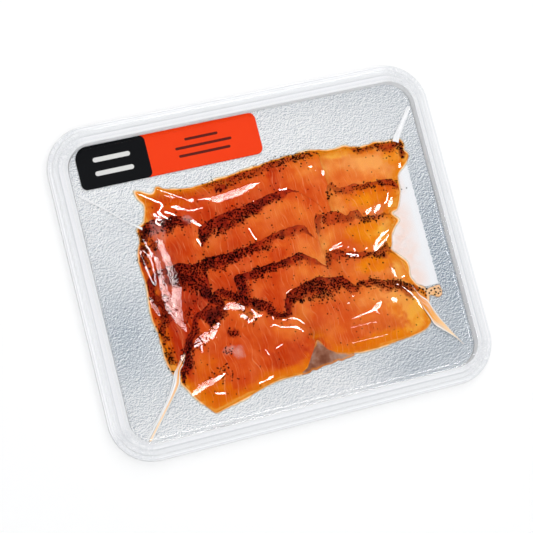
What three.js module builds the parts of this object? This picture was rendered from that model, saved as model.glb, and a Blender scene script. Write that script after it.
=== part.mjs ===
// Sealed retail pack of sliced smoked salmon: a clear formed tray, a foil-faced board lying in it, a white
// liner sheet, twelve overlapping slices with a peppered crust, a clear film drawn down over everything and
// sealed to the tray's flange, and a blank label on the film.
// Millimetres, +Z up. The origin is on the table under the middle of the tray. +X runs along the tray's long
// side, and +Y runs to the far side, where the label is.

import * as THREE from "three";

// Tray
const TRAY_WIDTH = 200;
const TRAY_DEPTH = 169;
const TRAY_CORNER = 22;
const TRAY_WALL = 0.5;
const TRAY_SEGMENTS = 9;
const FLANGE_TOP = 7;

// Clearance kept between neighbouring pieces
const GAP = 0.3;

// Foil-faced board, pushed a little to the right in the tray
const BOARD_WIDTH = 181;
const BOARD_DEPTH = 151.2;
const BOARD_CORNER = 13;
const BOARD_THICKNESS = 0.9;
const BOARD_SHIFT = [1.3, -0.3];
const BOARD_BOTTOM = TRAY_WALL + GAP;
const BOARD_TOP = BOARD_BOTTOM + BOARD_THICKNESS;

// White liner sheet under the right half of the slices
const LINER_FROM = [-28, -32];
const LINER_TO = [81.5, 31];
const LINER_THICKNESS = 0.3;
const LINER_BOTTOM = BOARD_TOP + GAP;
const LINER_TOP = LINER_BOTTOM + LINER_THICKNESS;
const LINER_TOOTH = 0.45;
const LINER_TEETH = 14;

// Slices: each lies on the ones before it in the list, and bends down over their edges
const SLICE_THICKNESS = 2.2;
const SLICE_GAP = 0.4;
const SLICE_LAYER = SLICE_THICKNESS + SLICE_GAP;
const SLICE_BOTTOM = LINER_TOP + GAP;
const EDGE_SHARE = 0.5;
const DRAPE_REACH = 3;
const DRAPE_RAMP = 19;
const LONG_CELLS = [11, 8];
const SHORT_CELLS = [7, 8];

// Film: sealed flat on the flange, then down to the board and up over the slices
const FILM_THICKNESS = 0.4;
const FILM_TRIM = 2.9;
const FILM_SEAL = 4.4;
const FILM_DROP = 2.6;
const FILM_CELL = 7;
const FILM_REACH = 3.5;
const FILM_RAMP = 6;
const FILM_SLACK = 0.5;
const FILM_ON_BOARD = BOARD_TOP + GAP;
const FILM_ON_FLANGE = FLANGE_TOP + GAP;
const FILM_HALF_X = TRAY_WIDTH / 2 - FILM_TRIM;
const FILM_HALF_Y = TRAY_DEPTH / 2 - FILM_TRIM;

// Label, on the film near the far left corner. Its far edge is where the film leaves the board.
const LABEL_FROM = [-84.6, 53];
const LABEL_TO = [9.4, FILM_HALF_Y - FILM_SEAL - FILM_DROP];
const LABEL_THICKNESS = 0.3;

// The far edge of a slice carries its crust. Both edges run from left to right. "on" names the slices it lies on.
const SLICES = [
  {
    name: "slice_middle_1",
    on: [],
    far: [[-60, 47], [-53, 44.5], [-47, 46.5], [-30, 43.5], [-10, 45], [10, 48], [34.4, 48]],
    near: [[-58, 14], [-30, 9], [0, 11], [34.4, 13]],
    cells: LONG_CELLS,
  },
  {
    name: "slice_right_1",
    on: [],
    far: [[35, 47.5], [47, 48], [58, 46], [70, 46.5], [84, 40]],
    near: [[35, 13], [50, 10], [74, 12]],
    cells: SHORT_CELLS,
  },
  {
    name: "slice_left_1",
    on: ["slice_middle_1"],
    far: [[-63, 26], [-50, 30], [-40, 31], [-33.6, 27]],
    near: [[-65, -8], [-50, -11], [-33.6, -9]],
    cells: SHORT_CELLS,
  },
  {
    name: "slice_middle_2",
    on: ["slice_middle_1"],
    far: [[-33, 20.5], [-12, 25], [1, 28.5], [14, 31.5], [34.2, 23]],
    near: [[-33, -8], [0, -10], [34.2, -7]],
    cells: LONG_CELLS,
  },
  {
    name: "slice_right_2",
    on: ["slice_right_1"],
    far: [[34.8, 29], [45, 28.5], [58, 27], [69, 26.5], [74.5, 20]],
    near: [[34.8, -6], [50, -9], [65, -8]],
    cells: SHORT_CELLS,
  },
  {
    name: "slice_left_2",
    on: ["slice_left_1"],
    far: [[-65, 2], [-57, 6], [-45, 7], [-33.6, 4.5]],
    near: [[-62, -45], [-50, -40], [-33.6, -34]],
    cells: SHORT_CELLS,
  },
  {
    name: "slice_middle_3",
    on: ["slice_middle_2"],
    far: [[-33, 4], [-16, 6], [3, 10], [13, 11], [25.4, 4.5]],
    near: [[-33, -26], [0, -26], [25.4, -26]],
    cells: LONG_CELLS,
  },
  {
    name: "slice_right_3",
    on: ["slice_middle_2", "slice_right_2"],
    far: [[26, 13], [36, 15], [48, 11], [60, 10], [69, 4]],
    near: [[26, -24], [45, -26], [65, -24]],
    cells: SHORT_CELLS,
  },
  {
    name: "slice_middle_4",
    on: ["slice_middle_3"],
    far: [[-20, -8], [-8, -4], [13, -3.5], [26.4, -8]],
    near: [[-20, -40], [0, -42], [26.4, -40]],
    cells: LONG_CELLS,
  },
  {
    name: "slice_right_4",
    on: ["slice_right_3"],
    far: [[27, -5], [41, -6], [50, -8.5], [58, -8], [66, -16]],
    near: [[27, -42], [48, -44], [67, -40]],
    cells: SHORT_CELLS,
  },
  {
    name: "slice_middle_5",
    on: ["slice_left_2", "slice_middle_3", "slice_middle_4"],
    far: [[-58, -47], [-46, -25], [-28, -10.5], [-16, -19], [-7, -27], [1.8, -25]],
    near: [[-57.5, -54], [-46.5, -68], [-30, -65], [0, -59.5], [12.2, -47]],
    cells: LONG_CELLS,
  },
  {
    name: "slice_right_5",
    on: ["slice_middle_4", "slice_right_4"],
    far: [[2.6, -24.5], [16, -17], [32, -19.5], [48, -22.5], [64, -27], [82.5, -33]],
    near: [[13, -47], [24, -56], [35, -58], [54, -57], [69, -54]],
    cells: LONG_CELLS,
  },
];

const clamp01 = (value) => Math.min(Math.max(value, 0), 1);
const smoothstep = (t) => t * t * (3 - 2 * t);

// A closed mesh from shared vertices and faces given as vertex numbers.
function solidFrom(vertices, faces) {
  const geometry = new THREE.BufferGeometry();
  geometry.setAttribute("position", new THREE.Float32BufferAttribute(vertices.flat(), 3));
  geometry.setIndex(faces.flat());
  geometry.computeVertexNormals();
  return geometry;
}

// One ring of points round a rounded rectangle, anticlockwise from above.
function roundedRing(halfX, halfY, radius, z, segments = TRAY_SEGMENTS) {
  const ring = [];
  const quarters = [[1, 1], [-1, 1], [-1, -1], [1, -1]];
  quarters.forEach(([sx, sy], quarter) => {
    for (let i = 0; i <= segments; i += 1) {
      const angle = ((quarter + i / segments) * Math.PI) / 2;
      const x = sx * (halfX - radius) + radius * Math.cos(angle);
      const y = sy * (halfY - radius) + radius * Math.sin(angle);
      ring.push([x, y, z]);
    }
  });
  return ring;
}

// Joins rings in order and closes the first and the last with a fan.
function loftRings(rings) {
  const count = rings[0].length;
  const vertices = rings.flat();
  const faces = [];
  for (let r = 0; r + 1 < rings.length; r += 1) {
    for (let i = 0; i < count; i += 1) {
      const a = r * count + i;
      const b = r * count + ((i + 1) % count);
      faces.push([a, b, b + count], [a, b + count, a + count]);
    }
  }
  const closeWithFan = (ring, first, facesUp) => {
    const centre = vertices.length;
    vertices.push([0, 0, ring[0][2]]);
    for (let i = 0; i < count; i += 1) {
      const a = first + i;
      const b = first + ((i + 1) % count);
      faces.push(facesUp ? [centre, a, b] : [centre, b, a]);
    }
  };
  closeWithFan(rings[0], 0, false);
  closeWithFan(rings[rings.length - 1], (rings.length - 1) * count, true);
  return solidFrom(vertices, faces);
}

// A closed sheet over a grid of [x, y] points. The grid's columns run along +X and its rows along +Y.
function sheetOver(grid, bottomAt, thicknessAt) {
  const rows = grid.length;
  const columns = grid[0].length;
  const layer = rows * columns;
  const place = (row, column) => row * columns + column;
  const bottom = grid.flatMap((line, row) =>
    line.map(([x, y], column) => [x, y, bottomAt(x, y, row, column)]),
  );
  const top = bottom.map(([x, y, z], i) => {
    const row = Math.floor(i / columns);
    return [x, y, z + thicknessAt(row, i % columns)];
  });
  const faces = [];
  for (let row = 0; row + 1 < rows; row += 1) {
    for (let column = 0; column + 1 < columns; column += 1) {
      const a = place(row, column);
      const b = place(row, column + 1);
      const c = place(row + 1, column + 1);
      const d = place(row + 1, column);
      faces.push([a, c, b], [a, d, c]);
      faces.push([a + layer, b + layer, c + layer], [a + layer, c + layer, d + layer]);
    }
  }
  const border = [];
  for (let column = 0; column + 1 < columns; column += 1) border.push(place(0, column));
  for (let row = 0; row + 1 < rows; row += 1) border.push(place(row, columns - 1));
  for (let column = columns - 1; column > 0; column -= 1) border.push(place(rows - 1, column));
  for (let row = rows - 1; row > 0; row -= 1) border.push(place(row, 0));
  border.forEach((a, i) => {
    const b = border[(i + 1) % border.length];
    faces.push([a, b, b + layer], [a, b + layer, a + layer]);
  });
  return solidFrom([...bottom, ...top], faces);
}

// Distance from a point to a closed outline, 0 inside it.
function distanceOutside(outline, x, y) {
  let inside = false;
  let nearest = Infinity;
  outline.forEach(([ax, ay], i) => {
    const [bx, by] = outline[(i + 1) % outline.length];
    if (ay > y !== by > y && x < ax + ((y - ay) * (bx - ax)) / (by - ay)) inside = !inside;
    const length2 = (bx - ax) ** 2 + (by - ay) ** 2;
    const t = length2 ? clamp01(((x - ax) * (bx - ax) + (y - ay) * (by - ay)) / length2) : 0;
    nearest = Math.min(nearest, Math.hypot(ax + t * (bx - ax) - x, ay + t * (by - ay) - y));
  });
  return inside ? 0 : nearest;
}

// How far a flexible layer is lifted by an outline under it: 1 over it and within reach, then falling to 0.
function lift(outline, x, y, reach, ramp) {
  return smoothstep(clamp01(1 - (distanceOutside(outline, x, y) - reach) / ramp));
}

const splineThrough = (points) => new THREE.SplineCurve(points.map(([x, y]) => new THREE.Vector2(x, y)));

// The slice's points from its near edge to its far edge, and its outline.
function planOf({ far, near, cells: [across, deep] }) {
  const farEdge = splineThrough(far);
  const nearEdge = splineThrough(near);
  const grid = [];
  for (let row = 0; row <= deep; row += 1) {
    const line = [];
    for (let column = 0; column <= across; column += 1) {
      const u = column / across;
      const point = nearEdge.getPoint(u).lerp(farEdge.getPoint(u), row / deep);
      line.push([point.x, point.y]);
    }
    grid.push(line);
  }
  const leftEdge = grid.map((line) => line[0]);
  const rightEdge = grid.map((line) => line[across]);
  const outline = [...grid[0], ...rightEdge.slice(1), ...grid[deep].slice(0, -1).reverse()];
  outline.push(...leftEdge.slice(1, -1).reverse());
  return { grid, outline };
}

const sliceOutlines = new Map(SLICES.map((slice) => [slice.name, planOf(slice).outline]));

// The height at which a slice rests at a point, counted in layers, and the height of its top in reach of it.
function restOf({ on }, x, y) {
  return Math.max(0, ...SLICES.filter(({ name }) => on.includes(name)).map((slice) => topOf(slice, x, y)));
}

function topOf(slice, x, y) {
  const share = lift(sliceOutlines.get(slice.name), x, y, DRAPE_REACH, DRAPE_RAMP);
  return share ? share * (1 + restOf(slice, x, y)) : 0;
}

const linerOutline = [
  [LINER_FROM[0], LINER_FROM[1]],
  [LINER_TO[0], LINER_FROM[1]],
  [LINER_TO[0], LINER_TO[1]],
  [LINER_FROM[0], LINER_TO[1]],
];

const sliceMaterial = () => new THREE.MeshStandardMaterial({ color: 0xdf6a2c, roughness: 0.3, metalness: 0 });

function makeSlice(slice) {
  const { grid } = planOf(slice);
  const [across, deep] = slice.cells;
  const bottomAt = (x, y) => SLICE_BOTTOM + SLICE_LAYER * restOf(slice, x, y);
  const thicknessAt = (row, column) => {
    const onEdge = row === 0 || row === deep || column === 0 || column === across;
    return SLICE_THICKNESS * (onEdge ? EDGE_SHARE : 1);
  };
  const mesh = new THREE.Mesh(sheetOver(grid, bottomAt, thicknessAt), sliceMaterial());
  mesh.name = slice.name;
  return mesh;
}

// The tray's shell, ring by ring: out under the floor, up outside the wall, round the flange and its turned
// down lip, and back down inside. Each ring is [inset from the side, inset from the front and back, height].
function makeTray() {
  const profile = [
    [8.2, 8.8, 0],
    [7.3, 7.9, 0.6],
    [6.5, 7.4, FLANGE_TOP - TRAY_WALL],
    [3.1, 3.5, FLANGE_TOP - TRAY_WALL],
    [2.5, 2.9, FLANGE_TOP - 0.6 - TRAY_WALL],
    [0.8, 0.8, FLANGE_TOP - 0.6 - TRAY_WALL],
    [0.5, 0.5, FLANGE_TOP - 2.1],
    [0, 0, FLANGE_TOP - 2.1],
    [0, 0, FLANGE_TOP - 1.1],
    [0.5, 0.5, FLANGE_TOP - 0.6],
    [2.2, 2.6, FLANGE_TOP - 0.6],
    [2.8, 3.2, FLANGE_TOP],
    [6.1, 7, FLANGE_TOP],
    [6.6, 7.5, FLANGE_TOP - 0.4],
    [7.6, 8.2, 0.9],
    [8.1, 8.7, TRAY_WALL],
  ];
  const rings = profile.map(([insetX, insetY, z]) => {
    const halfX = TRAY_WIDTH / 2 - insetX;
    const halfY = TRAY_DEPTH / 2 - insetY;
    return roundedRing(halfX, halfY, TRAY_CORNER - insetX, z);
  });
  const material = new THREE.MeshStandardMaterial({ color: 0xe9ebee, roughness: 0.15, metalness: 0 });
  const mesh = new THREE.Mesh(loftRings(rings), material);
  mesh.name = "tray";
  return mesh;
}

function makeBoard() {
  const rings = [BOARD_BOTTOM, BOARD_TOP].map((z) =>
    roundedRing(BOARD_WIDTH / 2, BOARD_DEPTH / 2, BOARD_CORNER, z),
  );
  const material = new THREE.MeshStandardMaterial({ color: 0xc3c9d0, roughness: 0.35, metalness: 0.9 });
  const mesh = new THREE.Mesh(loftRings(rings), material);
  mesh.name = "board";
  mesh.position.set(BOARD_SHIFT[0], BOARD_SHIFT[1], 0);
  return mesh;
}

// The liner is cut with a toothed edge on its right side.
function makeLiner() {
  const depth = LINER_TO[1] - LINER_FROM[1];
  const shape = new THREE.Shape();
  shape.moveTo(LINER_FROM[0], LINER_TO[1]);
  shape.lineTo(LINER_FROM[0], LINER_FROM[1]);
  for (let i = 0; i <= 2 * LINER_TEETH; i += 1) {
    const y = LINER_FROM[1] + (depth * i) / (2 * LINER_TEETH);
    shape.lineTo(LINER_TO[0] - (i % 2 ? LINER_TOOTH : 0), y);
  }
  const geometry = new THREE.ExtrudeGeometry(shape, { depth: LINER_THICKNESS, bevelEnabled: false });
  const material = new THREE.MeshStandardMaterial({ color: 0xf1f1f2, roughness: 0.6, metalness: 0 });
  const mesh = new THREE.Mesh(geometry, material);
  mesh.name = "liner";
  mesh.position.z = LINER_BOTTOM;
  return mesh;
}

// The film's height over the board, lifted by the liner and by all the slices, and falling off round the pile.
function filmLift(x, y) {
  const shareOf = (outline) => lift(outline, x, y, FILM_REACH, FILM_RAMP);
  const nearPile = Math.max(...[...sliceOutlines.values()].map(shareOf));
  const onLiner = (LINER_TOP - BOARD_TOP) * Math.max(shareOf(linerOutline), nearPile);
  const layers = Math.max(...SLICES.map((slice) => topOf(slice, x, y)));
  return onLiner + (SLICE_LAYER * layers + FILM_SLACK) * nearPile;
}

// The film's grid lines across one side: its seal, its drop to the board, even cells, and the label's edges.
function filmLines(half, labelEdges) {
  const edges = [half, half - FILM_SEAL, half - FILM_SEAL - FILM_DROP];
  const inner = edges[2];
  const count = Math.ceil((2 * inner) / FILM_CELL);
  const even = Array.from({ length: count - 1 }, (_, i) => inner * ((2 * (i + 1)) / count - 1));
  const apart = even.filter((line) => labelEdges.every((edge) => Math.abs(line - edge) > FILM_CELL / 3));
  const lines = new Set([...edges, ...edges.map((line) => -line), ...apart, ...labelEdges]);
  return [...lines].sort((a, b) => a - b);
}

const filmXLines = filmLines(FILM_HALF_X, [LABEL_FROM[0], LABEL_TO[0]]);
const filmYLines = filmLines(FILM_HALF_Y, [LABEL_FROM[1], LABEL_TO[1]]);

// Moves a crossing of two grid lines onto the rounded rectangle that has the same inset.
function filmPoint(lineX, lineY) {
  const inset = Math.min(FILM_HALF_X - Math.abs(lineX), FILM_HALF_Y - Math.abs(lineY));
  const radius = Math.max(TRAY_CORNER - FILM_TRIM - inset, 0);
  const startX = FILM_HALF_X - inset - radius;
  const startY = FILM_HALF_Y - inset - radius;
  if (Math.abs(lineX) <= startX || Math.abs(lineY) <= startY) return [lineX, lineY];
  const p = (Math.abs(lineX) - startX) / radius;
  const q = (Math.abs(lineY) - startY) / radius;
  return [
    Math.sign(lineX) * (startX + radius * p * Math.sqrt(1 - (q * q) / 2)),
    Math.sign(lineY) * (startY + radius * q * Math.sqrt(1 - (p * p) / 2)),
  ];
}

// A sheet made of the film's own grid between the given lines, so that sheets lie on each other closely.
function sheetOnFilmGrid(xLines, yLines, clearance, thickness) {
  const grid = yLines.map((y) => xLines.map((x) => filmPoint(x, y)));
  const bottomAt = (x, y, row, column) => {
    const insetX = FILM_HALF_X - Math.abs(xLines[column]);
    const insetY = FILM_HALF_Y - Math.abs(yLines[row]);
    const drop = clamp01((Math.min(insetX, insetY) - FILM_SEAL) / FILM_DROP);
    const onBoard = FILM_ON_BOARD + filmLift(x, y);
    return FILM_ON_FLANGE + (onBoard - FILM_ON_FLANGE) * drop + clearance;
  };
  return sheetOver(grid, bottomAt, () => thickness);
}

function makeFilm() {
  const material = new THREE.MeshStandardMaterial({
    color: 0xffffff,
    roughness: 0.05,
    metalness: 0,
    transparent: true,
    opacity: 0.2,
  });
  const mesh = new THREE.Mesh(sheetOnFilmGrid(filmXLines, filmYLines, 0, FILM_THICKNESS), material);
  mesh.name = "film";
  return mesh;
}

function makeLabel() {
  const xLines = filmXLines.filter((x) => x >= LABEL_FROM[0] && x <= LABEL_TO[0]);
  const yLines = filmYLines.filter((y) => y >= LABEL_FROM[1] && y <= LABEL_TO[1]);
  const geometry = sheetOnFilmGrid(xLines, yLines, FILM_THICKNESS + GAP, LABEL_THICKNESS);
  const material = new THREE.MeshStandardMaterial({ color: 0xf0471e, roughness: 0.5, metalness: 0 });
  const mesh = new THREE.Mesh(geometry, material);
  mesh.name = "label";
  return mesh;
}

const pack = new THREE.Group();
pack.add(makeTray(), makeBoard(), makeLiner());
pack.add(...SLICES.map(makeSlice));
pack.add(makeFilm(), makeLabel());

export default pack;
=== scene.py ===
"""Looks for a sealed pack of sliced smoked salmon.

Draped slices with peppered crusts lie on a foil board in a clear tray, under tight film with a label on it.
Plan shapes are in millimetres in the row's frame, and turn into metres when a mesh is made. Shaders measure
in metres.
"""

import math

import bpy
import numpy as np
from mathutils import Matrix, Vector


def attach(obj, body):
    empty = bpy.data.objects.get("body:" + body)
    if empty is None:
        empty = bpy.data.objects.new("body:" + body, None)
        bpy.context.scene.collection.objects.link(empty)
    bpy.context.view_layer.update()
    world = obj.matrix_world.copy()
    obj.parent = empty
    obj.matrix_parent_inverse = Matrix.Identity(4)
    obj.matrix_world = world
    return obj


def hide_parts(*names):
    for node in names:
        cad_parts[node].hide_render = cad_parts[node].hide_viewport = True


MM = 0.001
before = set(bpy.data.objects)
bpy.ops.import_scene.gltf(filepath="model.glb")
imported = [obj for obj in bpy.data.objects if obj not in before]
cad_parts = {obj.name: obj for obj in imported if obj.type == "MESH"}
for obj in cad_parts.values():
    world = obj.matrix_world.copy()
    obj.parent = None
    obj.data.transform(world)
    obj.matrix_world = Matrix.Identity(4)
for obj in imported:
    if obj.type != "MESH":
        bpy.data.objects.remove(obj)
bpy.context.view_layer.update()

# ------------------------------------------------------------------------------------- sizes

TRAY_HALF = (100.0, 84.5)
TRAY_CORNER = 22.0
FLANGE_Z = 7.0  # top of the seal flange
BOARD_Z = 1.7  # top of the foil board
BOARD_SHIFT = (1.3, -0.3)  # how far the board lies off the tray's middle
LINER_Z = 2.3  # top of the liner sheet
LINER_BOX = (-28, 81.5, -32, 31)  # left, right, near and far
FIRST_GAP = 0.15  # from the board or the liner to the first slice
SLICE_T = 2.1  # thickness of a slice
EDGE_RADIUS = 1.3  # of a slice's rounded edge
FAR_TAPER = 8  # how far from its far edge a slice is thinner
PILE_SLOPE = 13.0  # how far from its outline the pile is lower
RIM_WIDTH = 7  # how far from its outline the pile is oily
SOFT_GROUND = 2.6  # how far a slice bridges the steps below it
OVERLAP = 0.04  # how far a slice's underside sinks into what it lies on
FILM_T = 0.12  # from what holds the film up to the film
FILM_INSET = 2.9  # from the tray's edge to the film's edge
SEAL = 9.2  # from the film's edge to where its grid is even
FILM_OVER_FLANGE = 0.25
DROP_START = 6.0  # from the film's edge to where it starts to drop onto the board
DROP_WIDTH = 2.4
FILM_OVER_BED = 0.2  # from the board or the liner to what holds the film up
FINE_X = (-68.0, 85.0)  # where the film's grid is fine
FINE_Y = (-70.0, 50.5)
JUICE_GAP = 0.14  # from the board or the liner to the thin end of the juice

# ----------------------------------------------------------------------------------- helpers


def lerp(a, b, t):
    return a + (b - a) * t


def smooth(t):
    t = np.clip(t, 0.0, 1.0)
    return t * t * (3 - 2 * t)


def spline(points, count):
    """Points along a Catmull-Rom curve through the given ones."""
    p = np.array(points, float)
    p = np.vstack([2 * p[0] - p[1], p, 2 * p[-1] - p[-2]])
    t = np.linspace(0, len(p) - 3 - 1e-9, count)
    i = t.astype(int)
    f = (t - i)[:, None]
    a, b, c, d = p[i], p[i + 1], p[i + 2], p[i + 3]
    return 0.5 * (2 * b + (c - a) * f + (2 * a - 5 * b + 4 * c - d) * f**2 + (3 * b - a - 3 * c + d) * f**3)


def along(line):
    """Length from the start of a line to each of its points."""
    return np.r_[0, np.cumsum(np.hypot(*np.diff(line, axis=0).T))]


def to_line(x, y, line):
    """For each point: its distance to the line, and the length along the line to the nearest place."""
    best = np.full(x.shape, 1e9)
    where = np.zeros(x.shape)
    run = along(line)
    for i in range(len(line) - 1):
        (ax, ay), (bx, by) = line[i], line[i + 1]
        dx, dy = bx - ax, by - ay
        t = np.clip(((x - ax) * dx + (y - ay) * dy) / (dx * dx + dy * dy + 1e-12), 0, 1)
        d = np.hypot(x - ax - t * dx, y - ay - t * dy)
        near = d < best
        best = np.where(near, d, best)
        where = np.where(near, run[i] + t * (run[i + 1] - run[i]), where)
    return best, where


def within(x, y, outline):
    """Whether each point lies inside the closed outline."""
    result = np.zeros(x.shape, bool)
    for (ax, ay), (bx, by) in zip(outline, np.roll(outline, -1, axis=0)):
        if ay == by:
            continue
        crosses = (ay > y) != (by > y)
        result ^= crosses & (x < ax + (y - ay) * (bx - ax) / (by - ay))
    return result


def inset(x, y, outline):
    """Distance from the closed outline, positive inside it."""
    d = to_line(x, y, np.vstack([outline, outline[:1]]))[0]
    return np.where(within(x, y, outline), d, -d)


def in_box(x, y, box, more=(0, 0)):
    """Whether each point lies in a box made larger at its right, and at its near and far side."""
    left, right, near, far = box
    return (x > left) & (x < right + more[0]) & (y > near - more[1]) & (y < far + more[1])


def between(table, i, j, next_i, next_j, f, g):
    """Reads a table between four of its values."""
    low = lerp(table[j, i], table[j, next_i], f)
    high = lerp(table[next_j, i], table[next_j, next_i], f)
    return lerp(low, high, g)


def noise(x, y, size, seed):
    """Smooth random values between -1 and 1 with features of about the given size in millimetres."""
    cells, origin = 64, 400
    table = np.random.default_rng(seed).uniform(-1, 1, (cells, cells))
    u, v = (x + origin) / size, (y + origin) / size
    i, j = np.floor(u).astype(int), np.floor(v).astype(int)
    f, g = smooth(u - i), smooth(v - j)
    return between(table, i % cells, j % cells, (i + 1) % cells, (j + 1) % cells, f, g)


def patch(x, y, middle, half, turn, ragged=0.0):
    """Soft oval: 1 in its middle, 0 from its edge on. Half sizes along and across it, turned by degrees."""
    c, n = math.cos(math.radians(turn)), math.sin(math.radians(turn))
    p = ((x - middle[0]) * c + (y - middle[1]) * n) / half[0]
    q = (-(x - middle[0]) * n + (y - middle[1]) * c) / half[1]
    r = np.hypot(p, q) + ragged * (0.35 * noise(x, y, 3.0, 33) + 0.3 * noise(x, y, 1.2, 34))
    return smooth(1.5 * (1.1 - r))


# ------------------------------------------------------------------------------- height maps

STEP = 0.4
GRID_X = np.arange(-100, 100 + STEP / 2, STEP)
GRID_Y = np.arange(-86, 86 + STEP / 2, STEP)
GX, GY = np.meshgrid(GRID_X, GRID_Y)


def sample(field, x, y):
    """Reads a height map between its grid points."""
    u = np.clip((x - GRID_X[0]) / STEP, 0, len(GRID_X) - 1.001)
    v = np.clip((y - GRID_Y[0]) / STEP, 0, len(GRID_Y) - 1.001)
    i, j = u.astype(int), v.astype(int)
    return between(field, i, j, i + 1, j + 1, u - i, v - j)


def blur(field, size):
    """Gaussian blur, size in millimetres."""
    ky = np.fft.fftfreq(field.shape[0], STEP)[:, None]
    kx = np.fft.rfftfreq(field.shape[1], STEP)[None, :]
    keep = np.exp(-2 * (np.pi * size) ** 2 * (kx**2 + ky**2))
    return np.fft.irfft2(np.fft.rfft2(field) * keep, s=field.shape)


def neighbours(field):
    return [np.roll(field, step, axis) for axis in (0, 1) for step in (1, -1)]


def relax(obstacle, rounds, pull):
    """A tight film: each point sinks to its neighbours' mean less the pull, or lies on the obstacle."""
    film = obstacle
    for _ in range(rounds):
        film = np.maximum(obstacle, sum(neighbours(film)) / 4 - pull)
    return film


# ------------------------------------------------------------------- what the photo shows of the slices

# Outline of the whole pile
PILE = np.array([
    (-60.4, 48.6), (-56.5, 46.2), (-52.6, 44.6), (-48.1, 48), (-45.5, 46.2), (-41.6, 45.3), (-29.4, 44.3),
    (-16.2, 44.8), (-6.4, 46.1), (11.2, 48.7), (27.4, 49.2), (37.4, 49.2), (52.8, 47.9), (58.9, 46),
    (67, 47), (79.5, 46.2), (83.8, 41.8), (82.5, 36.3), (77.4, 28.6), (74.6, 25.5), (74.5, 20.1),
    (72.5, 16.8), (67.2, 13.2), (65.8, 10.3), (69.8, 4.6), (66.3, 1.9), (62.8, -2.9), (61.2, -8.9),
    (66.1, -14.8), (68.6, -19.6), (67.4, -25.1), (71.8, -30.9), (82.3, -32.8), (80.4, -37), (74.9, -38.5),
    (73.4, -44.3), (71.5, -53.3), (63, -56.1), (54.4, -56.7), (44.5, -57.5), (34.9, -57.8), (26, -57),
    (18, -53.2), (12.2, -45.6), (8, -52.5), (2.1, -59.7), (-11.2, -60.3), (-18.9, -61.8), (-29.5, -64.8),
    (-46.6, -68.7), (-53.1, -61), (-57.5, -53.9), (-60.4, -50.7), (-61.9, -44.3), (-64, -39.2),
    (-64.5, -29), (-64.9, -22.3), (-66.3, -15.4), (-65.3, -5.5), (-64, 0.9), (-65.3, 11.4), (-64.7, 17.9),
    (-63, 22.7), (-62.8, 30.1), (-58.1, 32.4), (-56.2, 40.2),
])
IN_PILE = inset(GX, GY, PILE)

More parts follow.
